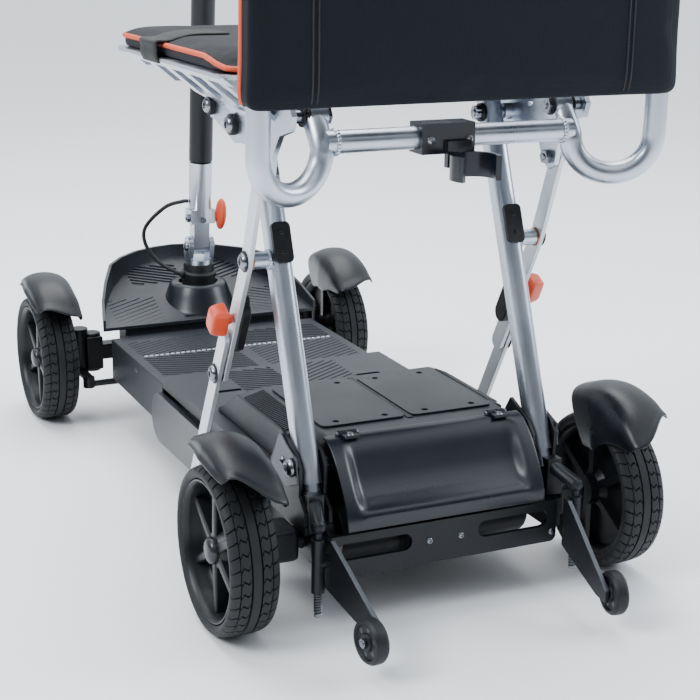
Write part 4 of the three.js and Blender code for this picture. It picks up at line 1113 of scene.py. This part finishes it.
# %% Padding
def slab(low, high, corner, taper=None):
    bm = bmesh.new()
    block(bm, low, high)
    short = min(range(3), key=lambda i: (high - low)[i])
    edges = [e for e in bm.edges if abs((e.verts[0].co - e.verts[1].co)[short]) > 1e-4]
    bmesh.ops.bevel(bm, geom=edges, offset=corner, offset_type="OFFSET", segments=6, profile=0.5,
                    affect="EDGES", material=-1)
    if taper:
        taper(bm)
    return bm


def puffed(name, bm, body, material, node, cap):
    pad = piece(name, bm, body, material, 0, [node], 180)
    bpy.context.view_layer.objects.active = pad
    for other in bpy.context.selected_objects:
        other.select_set(False)
    pad.select_set(True)
    pad.data.remesh_voxel_size = 0.006
    bpy.ops.object.voxel_remesh()
    start = [v.co.copy() for v in pad.data.vertices]
    cloth = pad.modifiers.new("cloth", "CLOTH")
    cloth.settings.use_pressure = True
    cloth.settings.uniform_pressure_force = 4
    cloth.settings.quality = 5
    cloth.settings.effector_weights.gravity = 0
    cloth.point_cache.frame_start = 1
    cloth.point_cache.frame_end = 20
    for step in range(1, 21):
        bpy.context.scene.frame_set(step)
    ready = pad.evaluated_get(bpy.context.evaluated_depsgraph_get()).to_mesh()
    moved = [v.co.copy() for v in ready.vertices]
    pad.evaluated_get(bpy.context.evaluated_depsgraph_get()).to_mesh_clear()
    pad.modifiers.remove(cloth)
    for vertex, before, after in zip(pad.data.vertices, start, moved):
        step = after - before
        if step.length > cap:
            step *= cap / step.length
        vertex.co = before + step
    bpy.context.scene.frame_set(1)
    pad.data.shade_smooth()
    soften(pad, 1)
    return pad


low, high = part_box("seat_cushion")


def slope_rear(bm):
    """Leave room for the backrest: only the last 5 cm of the cushion slopes down."""
    bmesh.ops.bisect_plane(bm, geom=bm.verts[:] + bm.edges[:] + bm.faces[:], plane_co=(0, high.y - 0.05, 0),
                           plane_no=(0, 1, 0))
    for vertex in bm.verts:
        if vertex.co.y > high.y - 0.04 and vertex.co.z > high.z - 0.012:
            vertex.co.z -= 0.012


cushion = puffed("seat_cushion_cover", slab(low + mm(1, 1, 1), high - mm(1, 1, 5), 0.03, slope_rear), "seat",
                 CLOTH, "seat_cushion", 0.007)
back_low, back_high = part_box("backrest_pad")
back_slab = slab(back_low + mm(-2, 5, -3), back_high - mm(-2, 5, -1), 0.014)
backrest = puffed("backrest_cover", back_slab, "backrest",
                  NEOPRENE, "backrest_pad", 0.006)


# %% Piping, straps and seams
def loop_route(low, high, corner, z):
    points = []
    for cx, cy, turn in ((high.x - corner, high.y - corner, 0), (low.x + corner, high.y - corner, 1),
                         (low.x + corner, low.y + corner, 2), (high.x - corner, low.y + corner, 3)):
        for i in range(9):
            angle = turn * pi / 2 + i * pi / 16
            points.append(Vector((cx + corner * cos(angle), cy + corner * sin(angle), z)))
    ring = []
    for a, b in zip(points, [*points[1:], points[0]]):
        parts = max(round((b - a).length / 0.03), 1)
        ring += [a.lerp(b, i / parts) for i in range(parts)]
    return [*ring, ring[0]]


def skin(pad):
    """The pad's surface, for laying piping and seams on it."""
    return BVHTree.FromPolygons([v.co for v in pad.data.vertices], [f.vertices[:] for f in pad.data.polygons])


def laid(tree, start, direction, lift=0.0):
    """The point where a ray first meets the pad, lifted a little off it."""
    point = tree.ray_cast(start, direction)[0]
    return (point or start + direction * 0.05) - direction * lift


cushion_skin = skin(cushion)
center = (low + high) / 2
ring = []
for point in loop_route(low - mm(20, 20, 0), high + mm(20, 20, 0), 0.052, 0):
    rear = min(max((point.y - high.y + 0.05) / 0.05, 0), 1)
    point.z = center.z = low.z + (0.62 - 0.40 * rear) * (high.z - low.z)
    ring.append(laid(cushion_skin, point, (center - point).normalized(), 0.0005))
piece("cushion_piping", swept(ring, 3.0, 3), "seat", PIPING, 0, smooth=60)
back_skin = skin(backrest)
up_the_pad = [back_low.z + 0.008 + i * 0.012 for i in range(25)]
bm = bmesh.new()
for s in (1, -1):
    line = [laid(back_skin, Vector((s * 0.3, back_low.y + 0.013, z)), Vector((-s, 0, 0))) for z in up_the_pad]
    pour(bm, swept(line, 2.8, 3))
piece("backrest_piping", bm, "backrest", PIPING, 0, smooth=60)
bm = bmesh.new()
for x in (-0.183, -0.177, 0.177, 0.183):
    line = [laid(back_skin, Vector((x, back_high.y + 0.05, z)), Vector((0, -1, 0))) for z in up_the_pad]
    pour(bm, swept(line, 1.1, 2))
piece("backrest_seams", bm, "backrest", WEBBING, 0, smooth=60)
STRAP_WIDTH = 60
STRAP_Y = 104
for name, s in SIDES:
    bm = bmesh.new()
    line = [laid(cushion_skin, mm(s * x, STRAP_Y, 660), Vector((0, 0, -1)), 0.0012)
            for x in (150, 170, 190, 208, 222)]
    line += [mm(s * 237.5, STRAP_Y, z) for z in (620, 612, 604)] + [mm(s * 234, STRAP_Y, 596)]
    line = smooth_route(line, 4)
    half = STRAP_WIDTH / 2
    rows = [[bm.verts.new(p + mm(0, half * t, 0)) for t in (-1, -0.5, 0, 0.5, 1)] for p in line]
    for a, b in zip(rows, rows[1:]):
        for i in range(4):
            bm.faces.new((a[i], a[i + 1], b[i + 1], b[i]))
    strap = piece(f"seat_strap_{name}", bm, "seat", WEBBING, 0, smooth=60)
    thicken(strap, 0.0018, 0)

# %% [markdown]
# ## Steering: column, hinge, tiller and console
# The column wears a rubber boot, above it a silver fork and clamp carry the fold. The orange lever locks
# it. The tube is plain black, and the console holds a display, a key and two grips on a swept bar.

# %% Column and tiller
COLUMN = PIVOT["steering_turn"] * 1000
COLUMN_LEAN = radians(5.4)


def on_column(along, x=0.0, out=0.0):
    return mm(x, COLUMN.y + along * sin(COLUMN_LEAN) + out * cos(COLUMN_LEAN),
              COLUMN.z + along * cos(COLUMN_LEAN) - out * sin(COLUMN_LEAN))


COLUMN_UP = on_column(1) - on_column(0)
boot = [(0, 2), (29, 2), (29, 6), (27.5, 8), (27, 40), (27.6, 42), (27.6, 46), (26.4, 48), (26, 62),
        (27.5, 65), (27.5, 70), (24, 73), (23.6, 80), (22.5, 84), (0, 84)]
bm = bmesh.new()
pour(bm, spun(boot, 48), facing(on_column(0), COLUMN_UP))
piece("steering_boot", bm, "steering", RUBBER, 0, ["steering_column"], 40)
refined("tiller_fork", 1.2)
refined("tiller_clamp", 1.4)
bm = bmesh.new()
hinge = PIVOT["tiller_fold"]
for s in (1, -1):
    bolt_head(bm, hinge + mm(s * 20.6, 0, 0), (s, 0, 0), 8, 4)
piece("fold_bolts", bm, "steering", ZINC, 0.3)
bm = bmesh.new()
nut(bm, on_column(160, 19.6, 8), (1, 0, 0), 6.5, 5)
rod(bm, on_column(158, 0, 17.5), on_column(158, 0, 21), 4, 16)
piece("clamp_bolt", bm, "tiller", ZINC, 0.3)
bm = bmesh.new()
tube = [(0, 246.8), (16.4, 246.8), (18, 249), (18, 380), (18, 606), (18.9, 608), (18.9, 618), (0, 620)]
pour(bm, spun(tube, 48), facing(on_column(0), COLUMN_UP))
rod(bm, on_column(619), on_column(650), 13, 40)
piece("tiller_tube_black", bm, "tiller", PAINT, 0, ["tiller_tube"], 30)

# %% Latch lever
LATCH = PIVOT["latch_turn"]
bm = bmesh.new()
rod(bm, LATCH + mm(0.2, 0, 0), LATCH + mm(-8, 0, 0), 8, 24)
lever = bmesh.new()
bmesh.ops.create_uvsphere(lever, u_segments=24, v_segments=14, radius=1)
shape = Matrix.Translation(LATCH + mm(-10, 5, 4)) @ Matrix.Rotation(radians(-18), 4, "X")
pour(bm, lever, shape @ Matrix.Diagonal((0.0075, 0.016, 0.026, 1)))
piece("latch_lever_orange", bm, "tiller_latch", ORANGE, 0, ["tiller_latch_lever"], 50)

# %% Cable
route_points = [on_column(68, 29, 4), on_column(72, 40, -4), on_column(84, 60, -24), on_column(108, 75, -40),
                on_column(136, 74, -42), on_column(170, 48, -26), on_column(182, 26, -10),
                on_column(184, 18.4, -4)]
route = smooth_route(route_points, 6)
cable = piece("harness_cable_lead", swept(route, 3, 4), "steering", RUBBER, 0, ["harness_cable"], 60)
cable.parent = None
cable.matrix_world = Matrix()
del cable["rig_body"]
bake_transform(cable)
bm = bmesh.new()
pour(bm, spun([(0, 0), (6.5, 0), (6.5, 3), (4.4, 7), (0, 7)], 24), facing(on_column(68, 25.5, 3), (1, 0, 0)))
piece("cable_gland", bm, "steering", RUBBER, 0.4)

# %% Console, bar and grips
BAR = on_column(736) * 1000
bar_line = [mm(0, BAR.y, BAR.z), mm(48, BAR.y, BAR.z), mm(72, BAR.y + 2, BAR.z + 0.6),
            mm(110, BAR.y + 14, BAR.z + 4), mm(160, BAR.y + 32, BAR.z + 4), mm(210, BAR.y + 50, BAR.z + 4)]
bm = bmesh.new()
for s in (1, -1):
    half = smooth_route([Vector((s * p.x, p.y, p.z)) for p in bar_line], 6)
    pour(bm, swept(half, 11, 7))
piece("handlebar_tube", bm, "tiller", PAINT, 0, ["handlebar"], 50)
refined("console", 7, layers=4)
for name, s in SIDES:
    start = Vector((s * 0.126, (BAR.y + 20) * 0.001, (BAR.z + 4) * 0.001))
    end = Vector((s * 0.212, (BAR.y + 50.8) * 0.001, (BAR.z + 4) * 0.001))
    reach = (end - start).length * 1000
    ribs = [(11.4, 0), (16, 0), (16.6, 1.5), (16, 3)]
    for i in range(10):
        h = 6 + i * (reach - 12) / 10
        ribs += [(15.2, h), (16, h + 1.4), (16, h + 5.4), (15.2, h + 6.6)]
    ribs += [(16, reach - 4), (15, reach), (0, reach)]
    bm = bmesh.new()
    pour(bm, spun(ribs, 40), facing(start, end - start))
    piece(f"grip_{name}_ribbed", bm, "tiller", RUBBER, 0, [f"grip_{name}"], 40)
refined("throttle_lever", 2.2, layers=3)
dial = PIVOT["speed_dial_turn"]
dial_axis = Vector((0, 11.8, 4.7)).normalized()
bm = bmesh.new()
knurled = spun([(0, 0), (13, 0), (13, 7.5), (11.8, 9), (4, 9.6), (0, 9.6)], 36)
for vertex in knurled.verts:
    if vertex.co.xy.length > 0.0125 and round(atan2(vertex.co.y, vertex.co.x) * 18 / pi) % 2:
        vertex.co.xy *= 0.94
pour(bm, knurled, facing(dial - dial_axis * 0.0062, dial_axis))
piece("speed_dial_knob", bm, "speed_dial", ORANGE, 0, ["speed_dial"], 30)
FACE_NORMAL = Vector((0, 0.936, 0.351))
bm = bmesh.new()
block(bm, mm(-24, -14, -1), mm(24, 14, 1.6))
bmesh.ops.transform(bm, matrix=facing(on_column(700) + mm(-22, 36.2, 17), FACE_NORMAL), verts=bm.verts)
piece("console_display", bm, "tiller", SCREEN, 0.8)
bm = bmesh.new()
pour(bm, spun([(0, 3), (2, 3), (2.4, 2.2), (6, 2.2), (7, 1.2), (7, -1), (0, -1)], 28),
     facing(on_column(700) + mm(-22, 42.5, -4), FACE_NORMAL))
piece("key_switch", bm, "tiller", ZINC, 0.2)
